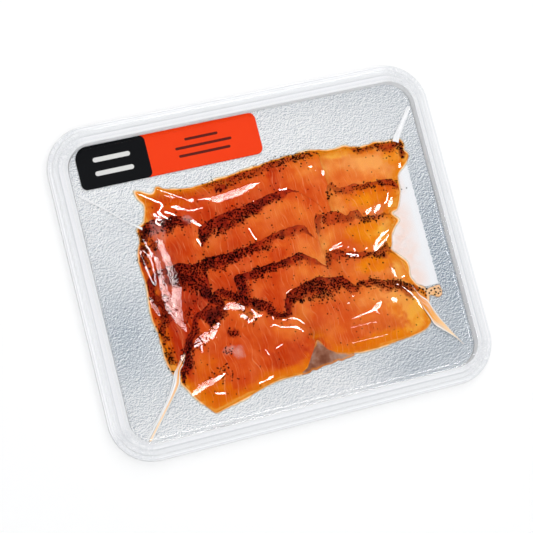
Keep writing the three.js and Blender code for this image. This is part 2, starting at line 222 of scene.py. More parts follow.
# The slices from the lowest up. far is the far edge from left to right: x, y, width of the crust there and
# how many grains it holds. near is the hidden near edge. left and right are the sides where they aren't
# straight. thick is a share of SLICE_T. The others are for the left and the right end: how strongly the crust
# stains (1 if not given), over what length the slice thins out, and how red (0) or pale (1) its flesh is.
SLICES = [
    dict(name="slice_middle_1", thick=1, stain=(0.55, 0.5), feather=(0, 8), tone=(0.12, 0.62),
         far=[(-60.4, 48.6, 0.3, 0), (-57, 46.5, 0.3, 0), (-54, 45, 0.3, 0), (-50.3, 44.3, 0.3, 0),
              (-48.5, 48, 0.3, 0), (-45.5, 46.2, 0.3, 0), (-42, 45.1, 0.4, 0.2), (-36, 44, 0.4, 0.2),
              (-29, 43.8, 0.6, 0.3), (-24, 43.9, 2.5, 0.5), (-20, 44.2, 4.5, 0.8), (-15, 44.9, 5, 0.9),
              (-10, 45.4, 5, 0.6), (-4, 46.3, 4.6, 0.5), (4, 47.2, 4.6, 0.6), (10, 48.2, 4.8, 0.8),
              (20, 49, 4.2, 0.9), (30, 49.3, 3.4, 0.8), (36, 49.2, 2.6, 0.7), (38.5, 48.3, 0.5, 0.2),
              (42, 47.6, 0, 0)],
         near=[(-60, 11), (-30, 8), (0, 10), (43, 12)],
         left=[(-60.4, 48.6), (-58.5, 43.5), (-56.4, 40.2), (-57, 36), (-58.1, 32.4), (-60, 22),
               (-60, 11)]),
    dict(name="slice_right_1", thick=0.85, stain=(0.6, 0.85), feather=(9, 0), tone=(0.84, 0.95),
         far=[(36.5, 48.9, 0.3, 0.2), (39.4, 47.7, 0.3, 0.1), (43.2, 47.2, 0.3, 0), (48, 47.2, 0.3, 0),
              (50.8, 48, 0.4, 0.1), (54.6, 46.7, 1.5, 0.4), (57.5, 45.9, 3.2, 0.6), (63.2, 45.8, 2.8, 0.4),
              (67, 46.7, 2.8, 0.4), (70.8, 45.8, 4, 0.7), (76.5, 45.3, 5.5, 0.9), (79.8, 46.2, 6, 0.9)],
         near=[(38, 8), (52, 8), (70, 10)],
         right=[(79.8, 46.2), (82.7, 42.5), (81.4, 39.7), (83.7, 36.3), (81.2, 33), (76.5, 29.2),
                (74.6, 26.2), (73.5, 18), (70, 10)]),
    dict(name="slice_left_1", thick=1, feather=(0, 7), tone=(0.2, 0.5),
         far=[(-63, 29, 5, 0.9), (-60.5, 30.2, 6, 1), (-58, 31.5, 6, 0.9), (-53, 31.5, 6, 0.6),
              (-49.5, 30.6, 6, 0.9), (-46, 31.2, 7, 1), (-42, 30.8, 6.5, 1), (-39, 29, 5.5, 0.6),
              (-35.5, 27.5, 2, 0.4), (-33, 26, 1, 0.3), (-30, 23, 1, 0.3)],
         near=[(-65.3, -8), (-50, -10), (-30, -9)],
         left=[(-63, 29), (-62.9, 23), (-64.9, 17.9), (-65.8, 11.4), (-65.2, 4), (-65, -2), (-65.3, -8)]),
    dict(name="slice_middle_2", thick=1, feather=(7, 9), tone=(0.36, 0.6),
         far=[(-34, 20, 6, 0.9), (-33, 23, 7.5, 0.9), (-30, 24.3, 8, 1), (-25, 25.8, 8.2, 1),
              (-20, 26.9, 8, 1), (-15, 27.6, 7.4, 1), (-10, 28.3, 7.2, 1), (-5, 29.1, 6.2, 1),
              (0, 30.2, 5, 0.8), (5, 31.2, 4.6, 0.6), (10, 32.2, 4.2, 0.5), (14, 32.5, 3.4, 0.5),
              (17.5, 31.6, 2, 0.3), (20, 30, 0.6, 0.1), (24, 27, 0, 0), (30, 20.5, 0, 0), (35, 13, 0, 0)],
         near=[(-34, -8), (0, -10), (36, -8)]),
    dict(name="slice_right_2", thick=0.9, stain=(0.5, 0.75), feather=(9, 0), tone=(0.78, 0.68),
         far=[(34.8, 22.5, 1.5, 0.5), (35.2, 25, 2, 0.5), (36, 28, 2.4, 0.4), (38, 30.4, 2.8, 0.4),
              (39.8, 30.6, 3, 0.4), (41.3, 28, 3.4, 0.4), (46, 27, 3.4, 0.5), (49.9, 27.7, 3.8, 0.7),
              (54.6, 26.6, 3.6, 0.8), (59.4, 26.6, 3.4, 1), (63.2, 26.7, 3.2, 0.8), (67, 26.4, 3, 0.9),
              (70.8, 26.1, 4.2, 0.9)],
         near=[(38, -8), (50, -10), (62, -8)],
         right=[(70.8, 26.1), (72.9, 23.5), (74, 20.2), (72.8, 16.9), (68, 13.4), (66, 10.3), (64, 0),
                (62, -8)]),
    dict(name="slice_left_2", thick=1, feather=(0, 8), tone=(0.1, 0.1),
         far=[(-64.8, 2, 5, 0.9), (-61, 5, 5, 0.7), (-56, 6.5, 9, 0.6), (-50, 7.2, 13, 0.9),
              (-45, 7, 14, 1), (-41, 5.2, 13, 0.9), (-37, 5.5, 13, 1), (-33, 7, 13, 1), (-30, 6, 12, 1),
              (-28, 3, 10, 0.8)],
         near=[(-62, -47), (-56, -45), (-45, -40), (-30, -34)],
         left=[(-64.8, 2), (-65.4, -5.5), (-66.3, -15.4), (-65.2, -22.3), (-64.8, -29), (-64.2, -39),
               (-62, -47)]),
    dict(name="slice_middle_3", thick=1, stain=(1, 0.7), feather=(6, 9), tone=(0.28, 0.62),
         far=[(-35, 6, 5, 1), (-33, 6.8, 6, 1), (-30, 7.2, 6.4, 1), (-25, 6.6, 5.6, 1), (-20, 7.3, 5.2, 1),
              (-15, 7.7, 4.6, 0.9), (-10, 8.4, 4.8, 1), (-5, 9.5, 5.2, 1), (0, 10.7, 4.6, 0.7),
              (5, 11.8, 4.2, 0.5), (10, 12.4, 4, 0.4), (15, 12.8, 4.4, 0.2), (18.5, 12.3, 4.6, 0.2),
              (20.5, 10, 3.5, 0), (21.5, 7.5, 1.5, 0), (24, 4, 0, 0), (27, 0, 0, 0)],
         near=[(-34, -28), (0, -28), (30, -26)]),
    dict(name="slice_right_3", thick=0.9, stain=(0.6, 0.7), feather=(9, 0), tone=(0.58, 0.86),
         far=[(25, 9.5, 4, 0.3), (25, 13, 5, 0.3), (26.6, 15.5, 6, 0.35), (29, 16.1, 6, 0.4),
              (31, 15.2, 5.4, 0.5), (33.7, 15.6, 5.4, 0.3), (37.5, 15.9, 6, 0.3), (39.9, 14.2, 5, 0.3),
              (42.3, 12.3, 3.6, 0.3), (44.7, 13.7, 5.5, 0.3), (48, 13.6, 6, 0.4), (49.6, 11, 3, 0.6),
              (50.6, 9.7, 2.6, 0.9), (53.7, 9.3, 2.4, 1), (59.9, 9.5, 2, 0.8), (63.2, 9, 1, 0.4),
              (66, 8, 0.3, 0.1), (67.9, 5.7, 0, 0), (69.5, 4, 0, 0)],
         near=[(27, -26), (45, -27), (63, -20)],
         right=[(69.5, 4), (66.5, 2), (63, -2.5), (61, -8), (62, -14), (63, -20)]),
    dict(name="slice_middle_4", thick=1, stain=(1, 0.75), feather=(6, 9), tone=(0.28, 0.6),
         far=[(-21, -12, 5, 1), (-22.3, -8, 6, 1), (-22, -5.4, 6, 1), (-18, -4.6, 6, 1),
              (-13, -4.2, 5.8, 1), (-8, -3.8, 5.4, 1), (-3, -3.4, 4.6, 0.9), (3, -2.8, 4, 0.8),
              (8, -2.1, 4.6, 0.8), (11, -1.4, 5, 0.8), (13, -0.9, 5, 0.8), (15.5, -2.2, 4, 0.5),
              (18, -4, 3.4, 0.1), (21, -6.5, 3, 0.05), (24, -9, 1.5, 0), (29, -13, 0, 0)],
         near=[(-21, -42), (0, -43), (29, -40)]),
    dict(name="slice_right_4", thick=0.9, stain=(0.6, 0.75), feather=(9, 0), tone=(0.58, 0.9),
         far=[(26, -9, 3, 0.5), (26.1, -6.9, 4, 0.7), (27.3, -4.4, 5, 0.8), (30, -3.8, 6, 0.9),
              (33.7, -3.8, 5.4, 0.9), (36.6, -5.5, 3.8, 0.8), (40.4, -6.2, 3.6, 0.6), (43.2, -7.2, 3, 0.5),
              (48, -8.1, 3, 0.7), (51.8, -8.6, 3.4, 0.9), (54.6, -7.2, 6, 0.9), (57, -7.2, 6, 1),
              (58.6, -5.2, 6, 0.9), (60, -6.4, 5, 0.8), (60.6, -8.8, 3, 0.4), (62.3, -11, 1, 0.2),
              (64.5, -14, 0.3, 0), (67, -16.5, 0, 0)],
         near=[(27, -44), (48, -46), (69, -42)],
         right=[(67, -16.5), (68, -20), (67, -25), (69.5, -30.5), (71, -36), (69, -42)]),
    dict(name="slice_middle_5", thick=1.05, feather=(0, 5), tone=(0.36, 0.6),
         far=[(-60, -50, 2, 0.5), (-58.3, -44, 4.5, 1), (-56, -37, 5, 1), (-53, -31, 4, 0.9),
              (-50, -27.3, 4, 0.8), (-47.5, -23, 3, 0.8), (-46, -19.6, 2.4, 0.9), (-41, -17.8, 7, 1),
              (-37, -15, 9, 1), (-34, -11, 8, 1), (-31, -9.3, 5.5, 1), (-27, -10.8, 4.6, 1),
              (-23, -13.5, 4.4, 1), (-20, -16.2, 4.6, 1), (-15, -18, 7.4, 1), (-11, -20, 8.5, 1),
              (-8, -22, 7.5, 1), (-6.3, -25.5, 4.5, 1), (-4.5, -28.3, 2.8, 0.9), (-1.5, -28.8, 2.6, 0.8),
              (2, -27.5, 2.6, 0.8)],
         near=[(-57.5, -53.9), (-53.1, -61), (-47.6, -67.8), (-46.6, -68.9), (-45.2, -68.4), (-29.5, -64.8),
               (-18.9, -61.8), (-11.2, -60.3), (2.1, -59.7), (8, -52.5), (12, -45.8)]),
    dict(name="slice_right_5", thick=0.95, stain=(1, 0.6), feather=(6, 0), tone=(0.55, 0.8),
         far=[(-0.6, -28.5, 3, 0.9), (-0.5, -25, 5, 1), (0.6, -21.5, 6.5, 1), (4, -18.9, 9, 1),
              (8, -17.4, 9.2, 1), (13, -16.1, 9, 1), (20, -15.2, 9.4, 1), (26, -16.2, 8, 0.95),
              (30, -16.9, 7.2, 0.95), (33.2, -18.5, 6, 0.9), (35.4, -21.4, 4.6, 0.8), (37, -23.8, 3.2, 0.7),
              (39, -22.3, 3.2, 0.8), (41.3, -21.8, 3.6, 0.9), (48, -22.6, 4, 0.9), (52.7, -23.9, 5.2, 0.9),
              (57.5, -25.3, 5.2, 0.9), (61.3, -26.2, 6, 0.9), (65, -28.1, 6, 0.9), (68, -30.1, 4.5, 0.8),
              (70.8, -31.5, 1.5, 0.3), (73.2, -31.5, 0.5, 0.2)],
         near=[(12.4, -45.8), (14.5, -50.5), (18, -53.5), (26, -55.8), (34.9, -56.6), (44.5, -56.3),
               (54.4, -55.4), (61, -54.7), (66, -53.7), (69.6, -52.6)],
         right=[(73.2, -31.5), (74, -36), (73.4, -41), (73, -46), (72.2, -50), (69.6, -52.6)]),
]
# More places with crust: slice, middle, half sizes, turn, stain, grains
CRUST_PATCHES = [
    ("slice_middle_1", (-17, 40.6), (4, 2.4), 10, 0.9, 0.9),
    ("slice_right_1", (81, 40.5), (5.5, 2.6), 80, 0.9, 0.8),
    ("slice_left_1", (-63, 15), (10, 2.6), 86, 0.85, 1), ("slice_left_1", (-60, 26), (3.4, 5), 0, 1, 1),
    ("slice_left_1", (-57, 19), (2, 6), 8, 0.5, 0.7), ("slice_left_2", (-62, -37), (8, 2.2), 80, 0.6, 0.9),
    ("slice_right_2", (72, 22.5), (4.5, 2), -70, 0.8, 0.8),
    ("slice_left_2", (-63, -4), (8, 3.2), 88, 0.9, 1), ("slice_left_2", (-36, -10), (5, 6), 0, 1.35, 1),
    ("slice_left_2", (-59, -14), (9, 3.4), 86, 0.7, 0.8),
    ("slice_left_2", (-62.5, -24), (8, 2.6), 86, 0.8, 1),
    ("slice_left_2", (-49, -18), (6, 2), 60, 0.5, 0.5), ("slice_left_2", (-43, -12), (7, 5), 0, 0.42, 0.2),
    ("slice_middle_4", (-19, -11), (6.5, 3), -78, 0.95, 1),
    ("slice_middle_5", (-54.5, -43), (6, 2.6), 78, 1, 1), ("slice_middle_5", (-37, -22), (5, 6), 0, 1.4, 1),
    ("slice_middle_5", (-29, -32.6), (4.6, 2.8), -5, 0.9, 0.7),
    ("slice_middle_5", (-33.5, -40.5), (3, 1.8), 0, 0.35, 0.9),
    ("slice_middle_5", (-38, -51), (10, 4.5), -20, 0.1, 0.6),
    ("slice_middle_5", (-20, -25), (5, 4), 0, 0.4, 0.4),
    ("slice_middle_5", (-48, -33), (5, 6), 20, 0.45, 0.5),
    ("slice_right_5", (63, -33), (5, 2.6), -50, 0.7, 0.6),
    ("slice_right_4", (56, -12), (4, 2.2), -10, 0.8, 0.9),
]
# Places where the flesh looks different: middle, half sizes, turn, change of tone, amber at least
TINTS = [
    ((-43, 40), (17, 7), -5, 0.05, 0.95), ((-60, 15), (6, 30), 4, -0.1, 0.8),
    ((-62, -28), (5, 22), 0, 0.1, 1), ((-44, -60), (20, 9), -12, 0.2, 1),
    ((-8, -57.5), (20, 4.5), 0, 0.1, 0.9), ((-46, -47), (11, 8), 0, 0, 0.7),
    ((57, 20), (16, 9), 0, -0.08, 1), ((51, 1), (15, 9), 0, -0.1, 1), ((50, -15), (13, 6), 0, -0.12, 1),
    ((75, 37), (8, 7), 0, -0.1, 0.9), ((67, -45), (10, 13), 0, 0.3, 1), ((47, -53), (28, 5), 0, 0.1, 1),
    ((45, 44.5), (9, 3), 0, 0.15, 0.8), ((10, -47), (9, 7), 0, -0.25, 0), ((-44, -13), (9, 5), 0, -0.25, 0),
    ((10, 37), (3, 7), 8, -0.25, 0), ((28, 27), (7, 6), 0, -0.1, 0), ((64, -21), (6, 8), 20, 0.25, 0.6),
    ((-46, 12), (9, 12), 0, -0.05, 0.3), ((60, 37), (9, 6), 0, 0.1, 0), ((62, 0), (6, 7), 0, 0.25, 0.7),
    ((60, -38), (12, 9), 0, 0.15, 0.6), ((16, 41), (8, 5), 0, -0.25, 0.3),
    ((-5, -50), (12, 8), 0, -0.3, 0.4), ((2, 1), (7, 4), 10, -0.25, 0), ((0, -11), (8, 4), 10, -0.2, 0),
    ((28, 36), (7, 7), 0, 0.15, 0),
]
# Where the oily rim of the pile is weaker or stronger: middle, half sizes, turn, share kept, amount added
RIMS = [
    ((2, 49), (40, 8), 2, 0, 0), ((-66, 2), (6, 34), 0, 0.3, 0), ((12, -53), (9, 11), 0, 0.2, 0),
    ((74, -49), (9, 4.5), 35, 1, 0.2), ((-63, -43), (3.4, 6), 10, 1, 0.45), ((70, -21), (4, 8), 15, 1, 0.3),
    ((50, -56), (20, 2.5), 3, 1, 0.25), ((-35, -66), (18, 2.5), 12, 1, 0.2), ((68, 2), (5, 7), 0, 1, 0.2),
    ((47, 48), (6, 2.5), 0, 1, 0.3), ((81, -35), (6, 4), 0, 1, 0.2),
]


def side_line(points, start, end, count=300):
    """A slice's side: through the given points, or straight."""
    return spline(points, count) if points else lerp(start, end, np.linspace(0, 1, count)[:, None])


def at_shares(line, shares):
    """Points of a line at shares of its length."""
    run = along(line)
    return np.stack([np.interp(shares * run[-1], run, line[:, k]) for k in (0, 1)], 1)


def slice_plan(s):
    """Adds the slice's outline and its grid of plan points, from the far edge (row 0) to the near edge."""
    column_step, row_step, fine, keep_each = 0.55, 0.6, 500, 4
    far, near = spline(s["far"], fine), spline(s["near"], fine)
    s["far_line"], s["far_crust"] = far[::keep_each, :2], far[::keep_each, 2:]
    far = far[:, :2]
    left = side_line(s.get("left"), far[0], near[0])
    right = side_line(s.get("right"), far[-1], near[-1])
    u = np.linspace(0, 1, int(max(along(far)[-1], along(near)[-1]) / column_step) + 2)
    v = np.linspace(0, 1, int(max(along(left)[-1], along(right)[-1]) / row_step) + 2)
    f, e = at_shares(far, u)[None], at_shares(near, u)[None]
    a, b = at_shares(left, v)[:, None], at_shares(right, v)[:, None]
    u, v = u[None, :, None], v[:, None, None]
    corners = lerp(lerp(f[:, :1], f[:, -1:], u), lerp(e[:, :1], e[:, -1:], u), v)
    grid = lerp(f, e, v) + lerp(a, b, u) - corners
    x, y = grid[..., 0].copy(), grid[..., 1].copy()
    grid[..., 1] += (1 - v[..., 0]) ** 6 * (0.4 * noise(x, y, 2.2, 3) + 0.25 * noise(x, y, 0.9, 4))
    s["grid"] = grid
    s["outline"] = np.vstack([grid[0], grid[1:, -1], grid[-1, -2::-1], grid[-2:0:-1, 0]])


def slab_top(s, x, y, inside, ground, soft_ground):
    """Height of the slice's top where it lies on the given ground, and how thick it is there."""
    from_far = to_line(x, y, s["far_line"])[0]
    dome = 0.18 + 0.82 * smooth(sample(IN_PILE, x, y) / PILE_SLOPE)
    body = 0.4 + 0.6 * smooth(from_far / FAR_TAPER)
    rim = np.sqrt(1 - (1 - np.clip(inside / EDGE_RADIUS, 0, 1)) ** 2)
    for end, reach in zip((0, -1), s["feather"]):
        if reach:
            rim = rim * (0.06 + 0.94 * smooth(to_line(x, y, s["grid"][::3, end])[0] / reach))
    waves = 0.2 * noise(x, y, 9, 21) + 0.08 * noise(x, y, 4, 22)
    thick = (SLICE_T * s["thick"] * body + waves) * dome * rim
    return lerp(ground, soft_ground, smooth(inside / 4)) + thick, thick


def crust_of(s, x, y):
    """How strongly the crust stains each point of a slice, and how many grains it holds."""
    from_far, run = to_line(x, y, s["far_line"])
    steps = along(s["far_line"])
    width, grains = (np.interp(run, steps, s["far_crust"][:, k]) for k in (0, 1))
    width = width * (1 + 0.3 * noise(x, y, 4.2, 31) + 0.22 * noise(x, y, 1.5, 32))
    off = from_far / np.maximum(width, 0.05)
    start, end = s.get("stain", (1.0, 1.0))
    band = lerp(start, end, run / steps[-1]) * smooth(1.75 - 1.25 * off) * smooth(width / 0.8)
    loose = 0.22 * smooth((width + 3.5 - from_far) / 4)
    grains = grains * np.maximum(smooth(2.2 - 1.6 * off), loose) * smooth(width / 0.5)
    for name, middle, half, turn, stain, amount in CRUST_PATCHES:
        if name == s["name"]:
            there = patch(x, y, middle, half, turn, 1.0)
            band, grains = np.maximum(band, stain * there), np.maximum(grains, amount * there)
    return band, grains


# -------------------------------------------------------------------------------- mesh tools


def new_object(name, vertices, faces, material, attributes=None, shade=True):
    """A mesh object. An attribute holds one number, or one vector, for each vertex."""
    mesh = bpy.data.meshes.new(name)
    faces = faces.tolist() if isinstance(faces, np.ndarray) else faces
    mesh.from_pydata((np.asarray(vertices, float) * MM).tolist(), [], faces)
    for key, data in (attributes or {}).items():
        is_vector = np.size(data) == 3 * len(vertices)
        kind, field = ("FLOAT_VECTOR", "vector") if is_vector else ("FLOAT", "value")
        mesh.attributes.new(key, kind, "POINT").data.foreach_set(field, np.asarray(data, "f").ravel())
    mesh.materials.append(material)
    mesh.polygons.foreach_set("use_smooth", np.full(len(mesh.polygons), shade))
    mesh.validate()
    piece = bpy.data.objects.new(name, mesh)
    bpy.context.collection.objects.link(piece)
    return piece


def points_of(x, y, z):
    """Grids of x, y and z as one list of points."""
    return np.dstack([x, y, z]).reshape(-1, 3)


def grid_faces(rows, columns, offset=0, flip=False):
    i = np.arange(rows * columns).reshape(rows, columns) + offset
    quads = np.stack([i[:-1, :-1], i[:-1, 1:], i[1:, 1:], i[1:, :-1]], -1).reshape(-1, 4)
    return quads[:, ::-1] if flip else quads


def closed_sheet(top, bottom):
    """Vertices and faces of a closed body between two grids of points, whose rows run on away from +Y."""
    rows, columns = top.shape[:2]
    count = rows * columns
    i = np.arange(count).reshape(rows, columns)
    loop = np.r_[i[0, :-1], i[:-1, -1], i[-1, :0:-1], i[:0:-1, 0]]
    after = np.roll(loop, -1)
    sides = np.stack([loop, after, after + count, loop + count], 1)
    faces = np.vstack([grid_faces(rows, columns, 0, True), grid_faces(rows, columns, count), sides])
    return np.vstack([top.reshape(-1, 3), bottom.reshape(-1, 3)]), faces


def place(piece, *nodes, slot):
    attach(piece, "root")
    if nodes:
        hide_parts(*nodes)
    return piece


# ------------------------------------------------------------------------------ shader tools

WHITE = (1, 1, 1, 1)


def srgb(r, g, b):
    """A screen colour, 0 to 255, as the linear colour that shaders take."""
    dark = 10 / 255
    shares = (r / 255, g / 255, b / 255)
    return tuple(c / 12.92 if c <= dark else ((c + 0.055) / 1.055) ** 2.4 for c in shares) + (1.0,)


class Value:
    """What a shader node gives. It can be added, subtracted, multiplied and divided like a number."""

    def __init__(self, nodes, socket):
        self.nodes = nodes
        self.socket = socket

    def __add__(self, other):
        return self.nodes.math("ADD", self, other)

    def __sub__(self, other):
        return self.nodes.math("SUBTRACT", self, other)

    def __rsub__(self, other):
        return self.nodes.math("SUBTRACT", other, self)

    def __mul__(self, other):
        return self.nodes.math("MULTIPLY", self, other)

    def __truediv__(self, other):
        return self.nodes.math("DIVIDE", self, other)

    __radd__ = __add__
    __rmul__ = __mul__


class Nodes:
    """Adds the shader nodes of a material or a world, and wires them up."""

    def __init__(self, owner):
        self.owner = owner
        owner.use_nodes = True
        self.tree = owner.node_tree
        self.tree.nodes.clear()

    def node(self, kind, links=None, **settings):
        node = self.tree.nodes.new("ShaderNode" + kind)
        for key, value in settings.items():
            setattr(node, key, value)
        for key, value in (links or {}).items():
            if isinstance(value, Value):
                self.tree.links.new(value.socket, node.inputs[key])
            else:
                node.inputs[key].default_value = value
        return node

    def add(self, kind, links=None, output=0, **settings):
        return Value(self, self.node(kind, links, **settings).outputs[output])

    def finish(self, shader, output="OutputMaterial"):
        self.node(output, {0: shader})
        return self.owner

    def math(self, operation, a, b=0.0, clamp=False):
        return self.add("Math", {0: a, 1: b}, operation=operation, use_clamp=clamp)

    def length(self, a, b):
        return self.math("SQRT", a * a + b * b)

    def vector(self, operation, a, b=(0, 0, 0), output=0):
        return self.add("VectorMath", {0: a, 1: b}, output, operation=operation)

    def split(self, vector):
        return [Value(self, part) for part in self.node("SeparateXYZ", {0: vector}).outputs]

    def ramp(self, factor, *stops):
        """Numbers or colours along a factor, each stop with its place."""
        node = self.node("ValToRGB", {0: factor})
        while len(node.color_ramp.elements) < len(stops):
            node.color_ramp.elements.new(0.5)
        for element, (position, colour) in zip(node.color_ramp.elements, stops):
            element.position = position
            element.color = colour if isinstance(colour, tuple) else (colour, colour, colour, 1)
        return Value(self, node.outputs[0])

    def mix(self, factor, a, b):
        return self.add("Mix", {0: factor, 6: a, 7: b}, 2, data_type="RGBA")

    def where(self):
        return self.add("TexCoord", output="Object")

    def attribute(self, name, output="Fac"):
        return self.add("Attribute", output=output, attribute_name=name)

    def noise(self, vector, scale, detail=2.0, rough=0.5, warp=0.0):
        links = {"Vector": vector, "Scale": scale, "Detail": detail, "Roughness": rough, "Distortion": warp}
        return self.add("TexNoise", links)

    def mapping(self, vector, scale, turn=0.0, shift=(0, 0, 0)):
        links = {"Vector": vector, "Location": shift, "Rotation": (0, 0, turn), "Scale": scale}
        return self.add("Mapping", links)

    def oval(self, vector, middle, half):
        """A soft oval on the XY plane: 1 in its middle, 0 from its edge on."""
        shift = (-middle[0] / half[0], -middle[1] / half[1], 0)
        local = self.mapping(vector, (1 / half[0], 1 / half[1], 0), shift=shift)
        return self.ramp(self.vector("LENGTH", local, output="Value"), (0.0, 1.0), (0.45, 0.55), (1.0, 0.0))

    def bump(self, strength, distance, height):
        return self.add("Bump", {"Strength": strength, "Distance": distance, "Height": height})

    def vertical(self, z=1.0):
        """A normal straight up or down, for thin clear things that don't show their own shade."""
        return self.add("CombineXYZ", {2: z})

    def let_through(self):
        """1 for the shadow rays and diffuse rays that clear things let through, 0 for the rest."""
        shadow = self.add("LightPath", output="Is Shadow Ray")
        diffuse = self.add("LightPath", output="Is Diffuse Ray")
        return self.math("ADD", shadow, diffuse, clamp=True)

    def surface(self, colour, rough, specular, normal, more=None):
        links = {"Base Color": colour, "Roughness": rough, "Specular IOR Level": specular, "Normal": normal}
        return self.add("BsdfPrincipled", {**links, **(more or {})})

    def matte(self, colour):
        return self.surface(colour, 0.5, 0.0, self.vertical())

    def clear(self, colour=WHITE):
        return self.add("BsdfTransparent", {"Color": colour})

    def over(self, share, below, above):
        """Lays a share of one shader over another."""
        return self.add("MixShader", {0: share, 1: below, 2: above})


def new_material(name):
    return Nodes(bpy.data.materials.new(name))


# --------------------------------------------------------------------------------- materials


def flesh_material():
    n = new_material("salmon flesh")
    where = n.where()
    crust = n.attribute("crust")
    amber = n.attribute("amber")
    mottle = n.noise(where, 240.0, 3.0, 0.6)

    # from red to pale, or as an oily orange where the amber and the rim are
    level = n.attribute("tone") + (n.noise(where, 60.0, 3.0, 0.55) - 0.5) * 0.7
    level = n.math("ADD", level, (mottle - 0.5) * 0.2, clamp=True)
    flesh = n.ramp(level, (0.0, srgb(182, 44, 12)), (0.3, srgb(204, 66, 20)), (0.55, srgb(219, 90, 35)),
                   (0.78, srgb(231, 120, 52)), (1.0, srgb(245, 160, 88)))
    oily = n.ramp(level, (0.0, srgb(180, 48, 3)), (0.3, srgb(204, 70, 3)), (0.6, srgb(222, 104, 4)),
                  (0.85, srgb(236, 136, 12)), (1.0, srgb(244, 172, 62)))
    colour = n.mix(amber * n.ramp(mottle, (0.3, 0.85), (0.55, 1.0)), flesh, oily)
    strands = n.noise(n.mapping(where, (0.22, 1.0, 1.0), -0.22), 420.0, 2.0, 0.55, 0.6)
    rim = n.attribute("rim") * ((strands - 0.5) * 1.3 + 1.0)
    colour = n.mix(n.ramp(rim, (0.25, 0.0), (0.75, 0.8)), colour, srgb(230, 120, 8))
    colour = n.mix(n.ramp(rim, (0.8, 0.0), (1.0, 0.5)), colour, srgb(244, 176, 76))

    # pale lines of fat across the slices, a coarse uneven set and a fine faint one, and broad hazy streaks
    colour, ridge = fat_lines(n, colour, where, 3.4, 0.06, 0.55, 45.0, 16.0)
    colour, _ = fat_lines(n, colour, where, 1.3, 0.11, 0.32, 90.0, 6.0)
    stretched = n.mapping(where, (1.0, 0.4, 1.0), 0.15)
    haze = n.ramp(n.noise(stretched, 130.0, 2.0, 0.5, 0.8), (0.45, 0.0), (0.72, 1.0))
    colour = n.mix(haze * (0.26 - amber * 0.22), colour, srgb(238, 138, 82))
    flush = n.ramp(n.noise(stretched, 48.0, 3.0, 0.6, 0.5), (0.5, 0.0), (0.68, 1.0))
    colour = n.mix(flush * (0.42 - amber * 0.35), colour, srgb(196, 48, 14))

    # the crust stains the flesh red-brown, and darkest where it is thick
    grit = n.noise(where, 700.0, 3.0, 0.65)
    ragged = crust + (n.noise(where, 480.0, 4.0, 0.7) - 0.5) * 1.1
    stain = n.ramp(ragged, (0.1, 0.0), (0.95, 0.95)) * n.ramp(crust, (0.0, 0.0), (0.4, 1.0))
    clots = n.noise(where, 200.0, 2.0, 0.5) * 0.7 + grit * 0.3
    dark = n.ramp(clots, (0.36, srgb(90, 14, 12)), (0.5, srgb(142, 28, 13)), (0.64, srgb(184, 54, 20)))
    colour = n.mix(stain, colour, dark)
    colour = n.mix(n.ramp(crust - 1.0, (0.0, 0.0), (0.4, 0.6)), colour, srgb(50, 14, 16))

    bump = n.bump(0.5, 0.0005, grit * (crust * 0.35) + mottle * 0.3 + ridge * 0.2)
    under_skin = {"Subsurface Weight": 0.25, "Subsurface Radius": (1.0, 0.3, 0.08), "Subsurface Scale": 0.002}
    return n.finish(n.surface(colour, 0.6, 0.0, bump, under_skin))


def fat_lines(n, colour, where, spacing, width, strength, scale, wander):
    """Lays pale lines over a colour. They follow the slice's far edge, wander, and come and go."""
    s, t, _ = n.split(n.attribute("grain", "Vector"))
    cross = (s - t * 0.1 + (n.noise(where, scale) - 0.5) * wander) / spacing
    off = n.math("ABSOLUTE", n.math("FRACT", cross) - 0.5)
    seed = n.math("FLOOR", cross)
    own = n.add("TexWhiteNoise", {"W": seed}, noise_dimensions="1D")
    broken = n.ramp(n.noise(n.add("CombineXYZ", {0: seed, 1: t * 0.16}), 1.0, 1.0), (0.42, 0.0), (0.6, 1.0))
    line = n.ramp(off, (0.0, 1.0), (0.5 * width, 0.6), (1.5 * width, 0.0)) * own * broken
    return n.mix(line * strength, colour, srgb(246, 176, 116)), line


def pepper_material():
    n = new_material("cracked pepper")
    where = n.where()
    spots = n.noise(where, 1500.0)
    colour = n.ramp(spots, (0.4, srgb(4, 2, 3)), (0.64, srgb(12, 5, 6)), (0.78, srgb(44, 14, 10)))
    return n.finish(n.surface(colour, 0.6, 0.0, n.bump(0.6, 0.0002, n.noise(where, 4000.0))))


# Broad painted reflections, lighter and darker places of the foil: middle and half size in metres, change of
# brightness
FOIL_PAINTED_REFLECTIONS = [
    ((0, 0.06), (0.1, 0.035), 0.9), ((-0.032, -0.078), (0.07, 0.028), 1.1),
    ((-0.09, 0.05), (0.035, 0.035), 0.5), ((-0.085, -0.07), (0.03, 0.03), 0.4),
    ((0.03, -0.072), (0.04, 0.02), 0.6), ((0.09, -0.02), (0.03, 0.07), -2),
    ((-0.08, -0.02), (0.026, 0.034), -1.1), ((0.06, -0.068), (0.04, 0.024), -1.1),
]


